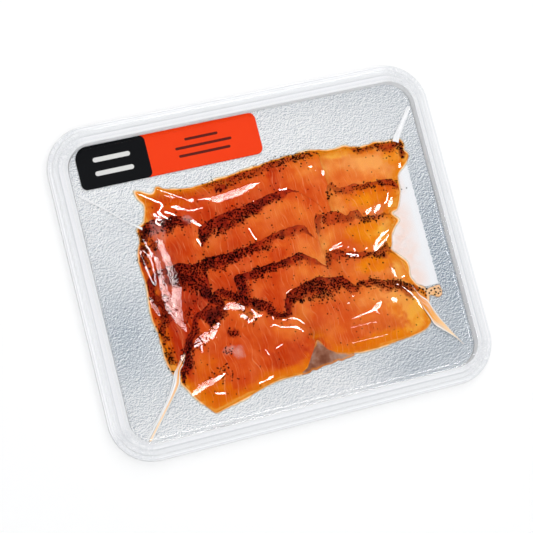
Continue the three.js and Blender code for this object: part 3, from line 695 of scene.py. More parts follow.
def foil_material():
    n = new_material("embossed foil")
    where = n.where()

    def relief(shift):
        moved = n.mapping(where, (1, 1.3, 1), 0.4, shift)
        return n.noise(moved, 640.0, 3.5, 0.75, 1.0) + n.noise(moved, 1400.0, 1.0) * 0.45

    here = relief((0, 0, 0))
    # painted emboss light and shade: each bump of the relief is lighter on one side and darker on the other
    slope = here - relief((0.0003, -0.0003, 0))
    painted_emboss_light = n.math("ADD", slope * 5.5, 0.5, clamp=True)
    # painted reflection: the foil is lighter and darker in broad places
    level = (n.noise(where, 16.0) - 0.5) * 0.5 + 0.66
    for middle, half, change in FOIL_PAINTED_REFLECTIONS:
        level = level + n.oval(where, middle, half) * (0.5 * change)
    # dim and bright painted reflections of the foil, mixed by the painted reflection level
    dim_painted_reflection = n.ramp(painted_emboss_light, (0.1, srgb(112, 127, 144)), (0.42, srgb(158, 171, 184)), (0.64, srgb(184, 194, 203)),
                  (0.92, srgb(246, 249, 252)))
    bright_painted_reflection = n.ramp(painted_emboss_light, (0.1, srgb(178, 184, 192)), (0.36, srgb(236, 239, 242)), (0.55, WHITE))
    colour = n.mix(n.ramp(level, (0.0, 0.0), (1.0, 1.0)), dim_painted_reflection, bright_painted_reflection)
    return n.finish(n.surface(colour, 0.4, 0.5, n.bump(0.9, 0.0005, here), {"Metallic": 0.2}))


def liner_material():
    """White sheet, smeared with juice except along its right edge."""
    n = new_material("liner sheet")
    where = n.where()
    x = n.split(where)[0]
    blots = n.ramp(n.noise(where, 160.0, 3.0), (0.3, 0.3), (0.6, 1.0))
    smear = n.ramp(x, (0.072, 1.0), (0.0775, 0.0)) * blots
    colour = n.mix(smear * 0.8, srgb(236, 237, 240), srgb(242, 210, 196))
    return n.finish(n.surface(colour, 0.6, 0.5, n.bump(0.12, 0.0002, n.noise(where, 900.0, 4.0, 0.6))))


def tray_material():
    """Clear plastic that looks milky on a white ground, crumpled where it was drawn round the corners."""
    n = new_material("tray plastic")
    where = n.where()

    # bands of light along the rims: how far in from the tray's rounded outline, as a share of the rims' width
    rims = 10.0
    arc_x, arc_y = ((half - TRAY_CORNER) * MM for half in TRAY_HALF)
    off = n.vector("MAXIMUM", n.vector("SUBTRACT", n.vector("ABSOLUTE", where), (arc_x, arc_y, 1.0)))
    deep = TRAY_CORNER / rims - n.vector("LENGTH", off, output="Value") / (rims * MM)
    bands = n.ramp(deep, (0.0, srgb(238, 239, 241)), (0.05, srgb(250, 250, 251)), (0.1, srgb(222, 223, 227)),
                   (0.14, srgb(249, 249, 250)), (0.2, srgb(238, 239, 241)), (0.5, srgb(239, 240, 242)),
                   (0.55, srgb(214, 216, 220)), (0.6, srgb(246, 246, 248)), (0.76, srgb(238, 239, 242)),
                   (0.82, srgb(249, 249, 250)), (0.9, srgb(241, 242, 244)))
    x, y, _ = n.split(off)
    corner = n.ramp(n.math("MINIMUM", x, y), (0.0, 0.0), (0.006, 1.0))
    fine = n.noise(where, 330.0, 3.0, 0.6, 1.6)
    # painted light and shade on the crumpled plastic at the corners
    painted_crumple_light = n.ramp(fine, (0.38, srgb(248, 248, 250)), (0.46, srgb(206, 209, 214)), (0.5, WHITE),
                     (0.54, srgb(214, 217, 221)), (0.62, srgb(250, 250, 251)))
    cloud = n.mix(corner * 0.75, bands, painted_crumple_light)
    bump = n.bump(0.5, 0.0006, fine * corner)
    lifted = n.vector("NORMALIZE", n.vector("ADD", bump, (0, 0, 2.4)))
    pale_body = n.add("BsdfDiffuse", {"Color": cloud, "Roughness": 0.5, "Normal": lifted})

    # steep walls glow with the light that falls through them from above
    upright = n.math("ABSOLUTE", n.split(n.add("NewGeometry", output="True Normal"))[2])
    glow = n.add("BsdfTranslucent", {"Color": srgb(252, 252, 253), "Normal": n.vertical(-1.0)})
    pale_body = n.over(n.ramp(upright, (0.3, 0.9), (0.8, 0.0)), pale_body, glow)
    milky = (1.0 - n.let_through() * 0.85) * 0.82
    body = n.over(milky, n.clear((0.97, 0.975, 0.98, 1)), pale_body)
    gloss = n.add("BsdfGlossy", {"Color": WHITE, "Roughness": 0.15, "Normal": bump})
    share = n.math("MINIMUM", n.add("Fresnel", {"IOR": 1.45, "Normal": bump}) * 0.4, 0.04)
    return n.finish(n.over(share, body, gloss))


def film_material():
    """Clear film, with painted haze of reflection in places and painted reflection of the pale surround where
    steep.
    """
    n = new_material("clear film")
    seen = 1.0 - n.let_through()
    streak = n.noise(n.where(), 260.0, 3.0, 0.6, 0.8)
    # painted haze of reflection, where the film's attribute puts it
    painted_haze = n.attribute("painted_haze") * n.ramp(streak, (0.35, 0.25), (0.65, 1.0))
    pale_body = n.add("BsdfDiffuse", {"Color": (0.86, 0.66, 0.6, 1), "Normal": n.vertical()})
    body = n.over(painted_haze * seen, n.clear(), pale_body)
    # painted reflection of the pale surround: a white diffuse where the film is seen steeply
    painted_steep_reflection = n.ramp(n.add("LayerWeight", {"Blend": 0.5}, "Facing"), (0.5, 0.0), (0.95, 0.28))
    white = n.add("BsdfDiffuse", {"Color": (0.94, 0.95, 0.96, 1), "Normal": n.vertical()})
    body = n.over(painted_steep_reflection * seen, body, white)
    share = n.math("MINIMUM", n.add("Fresnel", {"IOR": 1.5}), 0.05)
    return n.finish(n.over(share * seen, body, n.add("BsdfGlossy", {"Color": WHITE, "Roughness": 0.04})))


def crease_material():
    """A fold of film, seen only where it mirrors a light: it faces the way its mesh says."""
    n = new_material("film crease")
    facing = n.vector("NORMALIZE", n.attribute("facing", "Vector"))
    gloss = n.add("BsdfGlossy", {"Color": (1, 0.95, 0.93, 1), "Roughness": 0.04, "Normal": facing})
    share = n.attribute("fold") * n.ramp(n.noise(n.where(), 170.0), (0.3, 0.05), (0.5, 0.11))
    return n.finish(n.over(share, n.clear(), gloss))


def web_material(look):
    """Gathered film: white, with painted highlights along its edges, coloured by juice along some of its
    folds.
    """
    n = new_material("gathered film " + look)
    t, u, _ = n.split(n.attribute("flow", "Vector"))
    lines = n.noise(n.add("CombineXYZ", {0: t * 1.6, 1: u * 5.0}), 1.6)
    amount, thinnest = 0.0, 0.5
    if look == "juicy":
        core = n.ramp(u, (0.42, 0.0), (0.55, 1.0), (0.8, 1.0), (0.9, 0.0))
        second = n.ramp(u, (0.0, 0.5), (0.2, 1.0), (0.42, 0.15)) * n.ramp(t, (0.2, 1.0), (0.42, 0.0))
        amount = n.math("ADD", core * n.ramp(t, (0.1, 1.0), (1.0, 0.55)), second, clamp=True)
    elif look == "oily":
        edge = n.ramp(u, (0.04, 0.0), (0.16, 1.0), (0.82, 1.0), (0.97, 0.1))
        streaks = n.ramp(lines, (0.34, 0.45), (0.5, 1.0))
        amount = edge * streaks * n.ramp(t, (0.4, 1.0), (0.85, 0.6), (1.0, 0.2))
    else:
        thinnest = 0.85
    juice = n.mix(n.ramp(t, (0.1, 0.0), (0.8, 1.0)), srgb(238, 136, 16), srgb(252, 200, 116))
    colour = n.mix(amount, n.mix(lines, srgb(240, 242, 245), WHITE), juice)
    # painted highlights: the web's edges are solid white
    rims = n.ramp(u, (0.0, 1.0), (0.16, 0.0), (0.84, 0.0), (1.0, 1.0))
    thin = n.ramp(lines, (0.35, thinnest), (0.6, 1.0))
    solid = n.math("ADD", rims * 0.7 + thin, amount * 0.6, clamp=True)
    return n.finish(n.over(solid, n.clear(), n.matte(colour)))


def juice_material():
    n = new_material("salmon juice")
    where = n.where()
    blot = n.noise(where, 300.0, 3.0)
    colour = n.mix(blot, srgb(230, 122, 8), srgb(242, 152, 30))
    colour = n.mix(n.attribute("white"), colour, n.mix(blot, srgb(252, 216, 140), srgb(254, 246, 232)))
    # brown juice with painted shade, for the notch between the slices
    juice_with_painted_shade = n.ramp(n.noise(where, 110.0, 3.0, 0.6), (0.36, srgb(116, 68, 50)), (0.5, srgb(142, 94, 74)),
                   (0.64, srgb(166, 136, 122)))
    colour = n.mix(n.attribute("brown"), colour, juice_with_painted_shade)
    solid = n.math("MULTIPLY", n.attribute("wet"), n.ramp(blot, (0.3, 0.8), (0.6, 1.0)), clamp=True)
    return n.finish(n.over(solid, n.clear(), n.matte(colour)))


LABEL_X = (-84.6, 9.4)
LABEL_Y = (53.2, 74.8)
# The dark field at the label's left end: its right side and corner radius
DARK_RIGHT = -48.5
DARK_CORNER = 2.8
# The bars on the dark field and on the red field: left and right end, and middle
DARK_BARS = [(-76.2, -57.2, 67.3), (-76.5, -56.8, 60.3)]
RED_BARS = [(-28.8, -11.4, 68.3), (-34.5, -5.1, 64.3), (-33.5, -6.6, 60.2)]
DARK_BAR_HALF = 1.2
RED_BAR_HALF = 0.7


def label_material():
    """Two fields of colour with plain bars. Works in millimetres."""
    n = new_material("label print")
    where = n.where()
    x, y, _ = n.split(n.vector("MULTIPLY", where, (1 / MM, 1 / MM, 1 / MM)))

    def past(distance):
        return n.math("MAXIMUM", distance, 0.0)

    def bar(left, right, middle, half):
        """1 inside a bar with round ends, 0 outside it."""
        beyond = past(n.math("MAXIMUM", left + half - x, x - (right - half)))
        return n.math("LESS_THAN", n.length(y - middle, beyond), half)

    near, far = LABEL_Y
    beyond_x = past(x - (DARK_RIGHT - DARK_CORNER))
    beyond_y = past(n.math("ABSOLUTE", y - (near + far) / 2) - ((far - near) / 2 - DARK_CORNER))
    ink = n.mix(n.noise(where, 60.0), srgb(234, 52, 1), srgb(241, 63, 4))
    dark = n.math("LESS_THAN", n.length(beyond_x, beyond_y), DARK_CORNER)
    colour = n.mix(dark, ink, srgb(15, 16, 19))
    for left, right, middle in DARK_BARS:
        colour = n.mix(bar(left, right, middle, DARK_BAR_HALF), colour, srgb(214, 214, 212))
    for left, right, middle in RED_BARS:
        colour = n.mix(bar(left, right, middle, RED_BAR_HALF), colour, srgb(92, 26, 16))
    return n.finish(n.surface(colour, 0.4, 0.15, n.bump(0.06, 0.0003, n.noise(where, 500.0))))


# ------------------------------------------------------------------------------------ slices

on_liner = in_box(GX, GY, LINER_BOX)
bed = np.where(on_liner, LINER_Z, BOARD_Z)
pile_top = bed + FIRST_GAP
grain_map = np.zeros_like(pile_top)
covered = np.zeros_like(pile_top)
flesh = flesh_material()


def flesh_look(s, x, y):
    """What the flesh shader needs to know at each point of a slice."""
    tone = lerp(*s["tone"], smooth(np.broadcast_to(np.linspace(0, 1, x.shape[1]), x.shape)))
    rim = np.clip(1 - sample(IN_PILE, x, y) / RIM_WIDTH, 0, 1)
    for middle, half, turn, keep, more in RIMS:
        there = patch(x, y, middle, half, turn, 0.3)
        rim = rim * lerp(1, keep, there) + more * there
    amber = 0.2 + 0.8 * rim
    for middle, half, turn, change, least in TINTS:
        there = patch(x, y, middle, half, turn, 0.5)
        tone, amber = tone + change * there, np.maximum(amber, least * there)
    from_far = to_line(x, y, s["far_line"])[0]
    # painted light and shade: each slice is lighter in the middle of its open band, darker towards its crust
    # and where the next slice lies over it
    tone = tone + 0.2 * np.exp(-((from_far - 8.5) / 4) ** 2) - 0.08
    look = {"tone": tone, "amber": amber, "rim": rim, "crust": crust_of(s, x, y)[0]}
    grain = points_of(x, from_far, np.zeros_like(x))
    return {**{key: np.tile(data.ravel(), 2) for key, data in look.items()}, "grain": np.tile(grain, (2, 1))}


def lay_slice(s):
    """Makes one slice on top of what lies there already, and adds it to the height map."""
    slice_plan(s)
    soft = blur(pile_top, SOFT_GROUND)
    x, y = s["grid"][..., 0], s["grid"][..., 1]
    outline = s["outline"][::2]
    inside = np.clip(inset(x, y, outline), 0, None)
    inside[[0, -1]] = 0
    inside[:, [0, -1]] = 0
    z, thick = slab_top(s, x, y, inside, sample(pile_top, x, y), sample(soft, x, y))
    vertices, faces = closed_sheet(np.dstack([x, y, z]), np.dstack([x, y, z - thick - OVERLAP]))
    piece = new_object(s["name"] + "_flesh", vertices, faces, flesh, flesh_look(s, x, y))
    place(piece, s["name"], slot="salmon")

    rows = (GRID_Y > y.min() - 1) & (GRID_Y < y.max() + 1)
    columns = (GRID_X > x.min() - 1) & (GRID_X < x.max() + 1)
    box = np.ix_(rows, columns)
    gx, gy = GX[box], GY[box]
    depth = inset(gx, gy, outline)
    z = slab_top(s, gx, gy, np.clip(depth, 0, None), pile_top[box], soft[box])[0]
    pile_top[box] = np.where(depth > 0, z, pile_top[box])
    grain_map[box] = np.where(depth > 0, crust_of(s, gx, gy)[1], grain_map[box])
    covered[box] = np.maximum(covered[box], depth > 0)


for s in SLICES:
    lay_slice(s)

# ------------------------------------------------------------------------------------ pepper

# Grains on the peppered lobe of juice at the right
LOBE_GRAINS = np.array([
    (78.3, -34.1), (81.1, -35), (77.7, -37.2), (80.9, -36.3), (78.6, -36.1), (75, -35.8), (80.3, -34.2),
    (79.7, -37), (73.4, -34.6), (76.4, -34.6), (72.2, -33.2), (72, -35), (70.8, -32.2), (74.2, -33.4),
    (71, -34.4), (69.6, -33), (73, -36.4),
])
LOBE_GRAIN_RADIUS = 0.52
# How the other grains are scattered: spacing, smallest and largest radius, seed
CRUST_GRAINS = (0.72, 0.26, 0.48, 5)
LOOSE_GRAINS = (1.4, 0.22, 0.38, 6)
GRAIN_MIDDLE = 0.6  # height of a grain's middle over the crust, as a share of its radius
GRAIN_FLATNESS = 0.7


def icosahedron():
    """Points and faces of a 20-sided body of radius 1."""
    golden = (1 + 5**0.5) / 2
    points = np.array([(-1, golden, 0), (1, golden, 0), (-1, -golden, 0), (1, -golden, 0),
                       (0, -1, golden), (0, 1, golden), (0, -1, -golden), (0, 1, -golden),
                       (golden, 0, -1), (golden, 0, 1), (-golden, 0, -1), (-golden, 0, 1)])
    faces = np.array([(0, 11, 5), (0, 5, 1), (0, 1, 7), (0, 7, 10), (0, 10, 11), (1, 5, 9), (5, 11, 4),
                      (11, 10, 2), (10, 7, 6), (7, 1, 8), (3, 9, 4), (3, 4, 2), (3, 2, 6), (3, 6, 8),
                      (3, 8, 9), (4, 9, 5), (2, 4, 11), (6, 2, 10), (8, 6, 7), (9, 8, 1)])
    return points / np.linalg.norm(points[0]), faces


def scatter(density, pitch, low, high, seed):
    """Uneven plan points over the pile with radii from low to high, kept with the given probability."""
    r = np.random.default_rng(seed)
    x, y = (a.ravel() for a in np.meshgrid(np.arange(-67, 84, pitch), np.arange(-69, 50, pitch)))
    x, y = x + r.uniform(-0.5, 0.5, x.size) * pitch, y + r.uniform(-0.5, 0.5, y.size) * pitch
    keep = r.uniform(0, 1, x.size) < density(x, y)
    return x[keep], y[keep], r.uniform(low, high, keep.sum())


def make_pepper():
    """Grains in clumps on the crusts, a few on the rest of the pile, and some on the lobe, in one mesh."""
    crusted = np.maximum(grain_map, 0.85 * blur(grain_map, 1.5))

    def on_crust(x, y):
        clump = np.clip(0.72 + 0.5 * noise(x, y, 1.9, 51) + 0.5 * noise(x, y, 6, 52), 0.12, 1)
        return sample(crusted, x, y) ** 1.4 * clump

    def loose(x, y):
        return (sample(IN_PILE, x, y) > 1) * 0.05

    lobe = (*LOBE_GRAINS.T, np.full(len(LOBE_GRAINS), LOBE_GRAIN_RADIUS))
    sets = (scatter(on_crust, *CRUST_GRAINS), scatter(loose, *LOOSE_GRAINS), lobe)
    x, y, r = (np.concatenate(parts) for parts in zip(*sets))
    z = sample(pile_top, x, y) + GRAIN_MIDDLE * r
    z[-len(LOBE_GRAINS):] = np.maximum(z[-len(LOBE_GRAINS):], LINER_Z + 0.6)

    ball, triangles = icosahedron()
    corners, count = len(ball), len(x)
    spin = np.random.default_rng(8)
    size = r[:, None, None] * spin.uniform(0.7, 1.25, (count, 1, 3))
    shape = ball[None] * size * spin.uniform(0.8, 1.2, (count, corners, 1))
    turn = spin.uniform(0, 2 * np.pi, count)
    c, n = np.cos(turn)[:, None], np.sin(turn)[:, None]
    px = shape[..., 0] * c - shape[..., 1] * n + x[:, None]
    py = shape[..., 0] * n + shape[..., 1] * c + y[:, None]
    pz = GRAIN_FLATNESS * shape[..., 2] + z[:, None]
    faces = (triangles[None] + corners * np.arange(count)[:, None, None]).reshape(-1, 3)
    place(new_object("pepper", points_of(px, py, pz), faces, pepper_material(), shade=False), slot="salmon")


make_pepper()

# -------------------------------------------------------------------------------------- film

CREASE_STEP = 0.45
CREASE_LIFT = 0.04  # from the film to the ribbon's edges
LEAST_HALF = 0.12  # half width of the thinnest ribbon
SOFT_EDGE = 0.06  # more width for the soft edge of a thin ribbon
# Creases in the film that mirror one of the two light cards: x, y and half width along each
CREASES = {
    "back": [
        [(-23.2, 35.1, 0.9), (-19.4, 34.8, 1.5), (-15.6, 35.2, 1.5), (-11.1, 35.6, 1.5), (-6.7, 36.5, 1.4),
         (-2.9, 37.5, 1.1), (-0.2, 38.1, 0.6), (2.8, 38.3, 0.1)],
        [(-29.8, 36.5, 0.15), (-26.4, 36.4, 0.25), (-23.2, 35.6, 0.5)],
        [(-44, 35.8, 0.2), (-41.4, 35.1, 0.8), (-38.7, 33.7, 0.5), (-36.1, 32.4, 0.3), (-32.2, 31.9, 0.2),
         (-28.6, 32.1, 0.12)],
        [(-34.5, 37.7, 0.2), (-33.2, 37.1, 0.8), (-32.1, 37.9, 0.2)],
        [(-59.5, 47.3, 0.15), (-55.5, 44.3, 0.2), (-50.5, 40.5, 0.3), (-48, 38, 0.3), (-50, 35.3, 0.35),
         (-50.5, 32.8, 0.3)],
        [(-48.5, 46.3, 0.15), (-40.5, 41.6, 0.2), (-34.2, 37.1, 0.1)], [(-46, 42.8, 0.2), (-41, 40.3, 0.2)],
        [(-53.5, 34.5, 0.3), (-52, 33, 0.4), (-50.5, 31.5, 0.3)],
        [(-51.2, 35.6, 0.2), (-49.7, 33.3, 0.35), (-47, 30, 0.2)],
        [(-48.2, 34.1, 0.35), (-45.2, 33, 0.35), (-42.7, 30.7, 0.3)],
        [(-49.5, 33, 0.2), (-45.9, 29.2, 0.2)],
        [(-53.4, 29.9, 0.3), (-52.2, 31.3, 0.3), (-50.7, 30.8, 0.35), (-50.2, 29.2, 0.3),
         (-51.8, 28.4, 0.3), (-53.4, 29.9, 0.3)],
        [(-35.7, 17.5, 0.5), (-34.6, 14.9, 0.4), (-34.2, 12.6, 0.2)],
        [(-36.1, 27.3, 0.5), (-34.2, 25.8, 0.8), (-33.1, 24.3, 0.5), (-31.6, 22.8, 0.3)],
        [(-8.9, 17.1, 0.15), (-7.8, 13.4, 0.3), (-6, 9.7, 0.25)],
        [(-31.1, -20.4, 0.3), (-28.9, -19.2, 1.2), (-25.9, -19.5, 1.3), (-22.9, -20.8, 1.2),
         (-21.1, -22.8, 0.5)],
        [(-24.3, -25.4, 0.4), (-22.4, -25.5, 0.6), (-21.2, -27.2, 0.6), (-20.2, -29.6, 0.3)],
        [(-17.9, -22.9, 0.15), (-16.6, -25.7, 0.6), (-15.4, -27, 0.8), (-13.4, -27.7, 0.1)],
        [(-20.2, -29.6, 0.2), (-18.2, -28.2, 0.7), (-16.4, -27.2, 0.8)],
        [(-50, -35, 0.2), (-47.2, -33, 1.4), (-43.5, -31.2, 2), (-40, -30.5, 1.9), (-38, -28.8, 1.2),
         (-35.5, -26.5, 0.6), (-34.7, -25.6, 0.2)],
        [(-56.1, -57.1, 0.4), (-51.9, -55.3, 1.4), (-47.4, -53.7, 1.4), (-42.9, -52.6, 0.9),
         (-37.6, -50.9, 0.15)],
        [(-45, -59, 0.15), (-42.9, -59.7, 0.3), (-39.5, -60.3, 0.15)],
        [(-22.4, -59.6, 0.15), (-18.8, -59, 0.35), (-15.6, -58.1, 0.5), (-14, -57.8, 0.2)],
        [(-15.6, -43.9, 0.15), (-14.1, -47.3, 0.25)], [(-10.4, -45, 0.2), (-6.2, -43.5, 0.15)],
        [(-8.2, -28.8, 0.2), (-7.8, -31.1, 0.25)],
        [(-4.3, -32.2, 0.15), (1.7, -32.2, 0.3), (4.6, -33.7, 0.25), (7.6, -36.7, 0.12)],
        [(-10.4, -33.9, 0.15), (-8.2, -33.3, 0.25), (-5.2, -35.2, 0.2), (0.1, -36.4, 0.3),
         (3.1, -37.5, 0.35), (6.1, -40.5, 0.12)],
        [(0.9, -19.8, 0.12), (4.6, -17.9, 0.15)],
        [(31.8, -39.4, 0.12), (38, -38.6, 0.2), (42.3, -37.8, 0.4), (45.1, -36.8, 1), (47, -35.4, 0.8),
         (48.6, -34.1, 0.15)],
        [(44, -37.2, 0.3), (45.4, -40.1, 0.1)],
        [(29.4, -43.5, 0.04), (39.9, -43.6, 0.09), (44.2, -44.1, 0.04)],
        [(28.6, -51.2, 0.04), (48.5, -51.2, 0.06)],
        [(53.8, -33.7, 0.2), (55.1, -34.8, 0.9), (56.5, -36, 0.3)],
        [(28.9, -3.3, 0.2), (32.3, -1.6, 0.45), (36.6, -0.4, 0.1)],
        [(29.1, -3.4, 0.2), (32.8, -2.7, 0.3), (36.5, -2.3, 0.1)], [(38.8, -3.3, 0.5), (39.5, -3.9, 0.5)],
        [(41.5, -4.4, 0.15), (41.8, -6.7, 0.4)], [(46.8, -6.8, 0.2), (48.5, -6.2, 0.4)],
        [(36.6, -6.6, 0.2), (39.9, -8.2, 0.7), (43.2, -9.5, 0.2)],
        [(51.8, -9, 0.15), (52.8, -6.2, 0.7), (55.1, -3.6, 0.7), (57.9, -1.4, 0.5), (62.5, 0.5, 0.2)],
        [(52.1, -8.8, 0.2), (55.5, -6.5, 0.5), (59.4, -4.2, 0.4), (61.8, -1.9, 0.2)],
        [(52.1, 10.6, 0.3), (53.9, 12, 0.9), (55.8, 13.3, 0.3)],
        [(56.5, 10.6, 0.4), (58.9, 12.4, 0.9), (61.1, 14, 0.4)],
        [(63, 13.8, 0.2), (65.5, 15.7, 0.4), (67, 19.5, 0.15)],
        [(65.5, 11.8, 0.5), (67.5, 14.8, 0.9), (68.5, 16.8, 0.3)],
        [(76.5, 30.4, 0.3), (77.3, 31.8, 0.5), (78, 33.3, 0.2)],
        [(35.8, 34.8, 0.15), (36.3, 36.8, 0.8), (36.5, 38, 0.8)], [(32.6, 38.7, 0.3), (33.1, 38.2, 0.3)],
        [(29.4, 41.2, 0.2), (30.8, 40.9, 0.4), (31.8, 40.6, 0.2)],
        [(58.4, -18.7, 0.2), (59, -21.2, 0.6), (59.8, -24.2, 0.15)],
        [(62.2, -24.7, 0.4), (64.6, -24.2, 0.4)],
        [(57.9, -27, 0.15), (61, -29.2, 0.2), (63.6, -31.8, 0.25), (65.5, -34.7, 0.3), (67.5, -38.4, 0.3),
         (69.3, -43.2, 0.2)],
        [(30.9, -32, 0.3), (31.9, -31.2, 0.3)], [(34.2, -28.9, 0.3), (35.1, -28.2, 0.3)],
    ],
    "left": [
        [(-54.2, 21.7, 1), (-53.4, 15.6, 1.3), (-52.2, 9.6, 1.5), (-51.8, 2.8, 1.8), (-51.5, -4.7, 1.7),
         (-52.2, -7, 1.7), (-53.1, -14.5, 2), (-53.4, -19.8, 1.6), (-52.2, -23.5, 0.9),
         (-51.2, -26.6, 0.25)],
        [(-58, 13.3, 0.4), (-57.2, 11.1, 1), (-57.2, 6.6, 1.1), (-57.2, -1, 1.2), (-57.2, -7, 1.4),
         (-56.4, -13, 1.6), (-54.9, -18.2, 1.2)],
        [(-61.2, 23.2, 0.3), (-60.8, 21.3, 0.5), (-59.7, 17.3, 0.5), (-58.7, 14.1, 0.4)],
        [(-63.6, 18.6, 0.3), (-64, 15.6, 0.4), (-63.2, 9.6, 0.35), (-62.1, 2.8, 0.35), (-61, -0.2, 0.3),
         (-60.2, 2.8, 0.3), (-59.8, 9.6, 0.35), (-60.6, 14.1, 0.35), (-62.5, 17.9, 0.25)],
        [(-65, -5.5, 0.4), (-64, -10, 0.9), (-62.8, -13.8, 0.6), (-62.1, -15.9, 0.15)],
        [(-46.2, -34.5, 0.4), (-46.6, -38.6, 0.25)],
    ],
}
# For the creases of each card: which way they face, how clear they are when thin and when broad, and the half
# width where that change starts and over what width it goes
CARDS = {
    "back": dict(facing=(0, 0.62, 1), thin=0.88, broad=0.5, start=0.3, span=1.0),
    "left": dict(facing=(-0.62, -0.1, 1), thin=0.74, broad=0.62, start=0.2, span=0.8),
}
# Places with a painted haze of reflection on the film: middle, half sizes, turn, share of white
PAINTED_HAZES = [
    ((-53.4, 25.4), (5.6, 6), 10, 0.24), ((-50.9, 30.3), (2.6, 3.4), 0, 0.25),
    ((-37.4, 27.8), (3.8, 2), -30, 0.3), ((-28.9, -42), (4.6, 3), -25, 0.32),
    ((-33.5, -40.4), (3.6, 2.2), 0, 0.22), ((-54.4, 0), (4.5, 24), 0, 0.12), ((67, -7), (4, 9), 0, 0.2),
    ((59, 12), (6, 3), 20, 0.12),
]
# Webs of gathered film that run from the pile to the tray's corners: how high the web stands along its
# length, its looks, and both long sides from the pile outwards
WEBS = [
    dict(name="web_near_left", heights=(1.2, 1.6, 1.4, 0.9, 0.5), look="juicy",
         one=[(-55, -36.3), (-57.6, -39), (-60.1, -42.4), (-62.2, -44.9), (-64.1, -49.4), (-68, -55.7),
              (-73.3, -62.2), (-78.8, -68.7), (-83.3, -73.8)],
         two=[(-54.8, -37.4), (-56.9, -41.8), (-59, -44.2), (-60, -48.3), (-61.4, -51.7), (-66.1, -57.4),
              (-71.7, -63.9), (-76.3, -69.3), (-80.6, -74.5)]),
    dict(name="web_near_right", heights=(1.4, 1.6, 1.4, 0.9, 0.4), look="oily",
         one=[(66.8, -29.5), (69.5, -35.3), (72.8, -38.6), (74.4, -42.6), (76.6, -48.3), (79.4, -53.6),
              (82.3, -58.9), (86, -65)],
         two=[(68.2, -36), (69.8, -42), (71.8, -47.4), (73.4, -51.8), (76.4, -55), (79.4, -57.7),
              (82.8, -61.1), (85.7, -65.2)]),
    dict(name="web_far_right", heights=(1.2, 1.1, 0.8, 0.5), look="bare",
         one=[(77, 45), (78.4, 47.6), (82.2, 52.2), (85.9, 56.8), (89.6, 61.6)],
         two=[(79.8, 43.5), (81.4, 46.7), (84.6, 51.1), (88, 55.9), (91.2, 60.4)]),
    dict(name="web_far_left", heights=(1.2, 0.6, 0.4, 0.25), look="bare",
         one=[(-60.6, 27.8), (-68, 34), (-75.2, 40.9), (-87.4, 51.3)],
         two=[(-60.2, 29), (-68, 34.8), (-75, 41.7), (-87.2, 52.2)]),
]


def with_webs(obstacle):
    """Adds the webs' ridges to what holds the film up."""
    for web in WEBS:
        one, two = spline(web["one"], 60), spline(web["two"], 60)
        curve, half = (one + two) / 2, np.hypot(*(one - two).T) / 2
        d, run = to_line(GX, GY, curve)
        share = run / along(curve)[-1]
        tall = np.interp(share, np.linspace(0, 1, len(web["heights"])), web["heights"])
        wide = np.interp(share, np.linspace(0, 1, 60), half) + 0.2
        ridge = BOARD_Z + FILM_OVER_BED + tall * np.clip(1 - (d / wide) ** 2, 0, 1)
        obstacle = np.where(d < wide, np.maximum(obstacle, ridge), obstacle)
    return obstacle


swollen = np.maximum.reduce([pile_top] + neighbours(pile_top))
obstacle = with_webs(np.maximum(blur(swollen, 0.5), bed + FILM_OVER_BED))
film_map = relax(obstacle, rounds=260, pull=0.006) + FILM_T


def film_lines(half, low, high):
    """Grid lines across the film: fine over the pile, coarser outside it, and set ones at its edge."""
    fine_step, coarse_step = 0.6, 1.6
    end = half - SEAL
    left = np.linspace(-end, low, int((end + low) / coarse_step) + 2)[:-1]
    right = np.linspace(high, end, int((end - high) / coarse_step) + 2)[1:]
    seal = np.array([0, 2.0, 4.0, 5.6, 6.1, 6.6, 7.1, 7.6, 8.1, 8.6])
    return np.r_[seal - half, left, np.arange(low, high + 0.01, fine_step), right, (half - seal)[::-1]]


def make_film():
    """The film: a grid bent into the tray's rounded outline, that drops from the flange onto the board."""
    half_x, half_y = TRAY_HALF[0] - FILM_INSET, TRAY_HALF[1] - FILM_INSET
    xs, ys = film_lines(half_x, *FINE_X), film_lines(half_y, *FINE_Y)[::-1]
    lx, ly = np.meshgrid(xs, ys)
    depth = np.minimum(half_x - abs(lx), half_y - abs(ly))
    radius = np.clip(TRAY_CORNER - FILM_INSET - depth, 0, None)
    sx, sy = half_x - depth - radius, half_y - depth - radius
    safe = np.maximum(radius, 1e-6)
    p, q = np.clip((abs(lx) - sx) / safe, 0, 1), np.clip((abs(ly) - sy) / safe, 0, 1)
    corner = (radius > 0) & (abs(lx) > sx) & (abs(ly) > sy)
    x = np.where(corner, np.sign(lx) * (sx + radius * p * np.sqrt(1 - q * q / 2)), lx)
    y = np.where(corner, np.sign(ly) * (sy + radius * q * np.sqrt(1 - p * p / 2)), ly)
    from_seal = np.minimum(half_x - abs(lx - BOARD_SHIFT[0]), half_y - abs(ly - BOARD_SHIFT[1]))
    drop = smooth((from_seal - DROP_START) / DROP_WIDTH)
    z = lerp(FLANGE_Z + FILM_OVER_FLANGE, sample(film_map, x, y), drop)
    # painted haze of reflection on the film
    painted_haze = np.zeros_like(x)
    for middle, half, turn, share in PAINTED_HAZES:
        painted_haze = np.maximum(painted_haze, share * patch(x, y, middle, half, turn, 0.8))
    faces = grid_faces(len(ys), len(xs), flip=True)
    piece = new_object("film_sheet", points_of(x, y, z), faces, film_material(), {"painted_haze": painted_haze})
    place(piece, "film", slot="film")


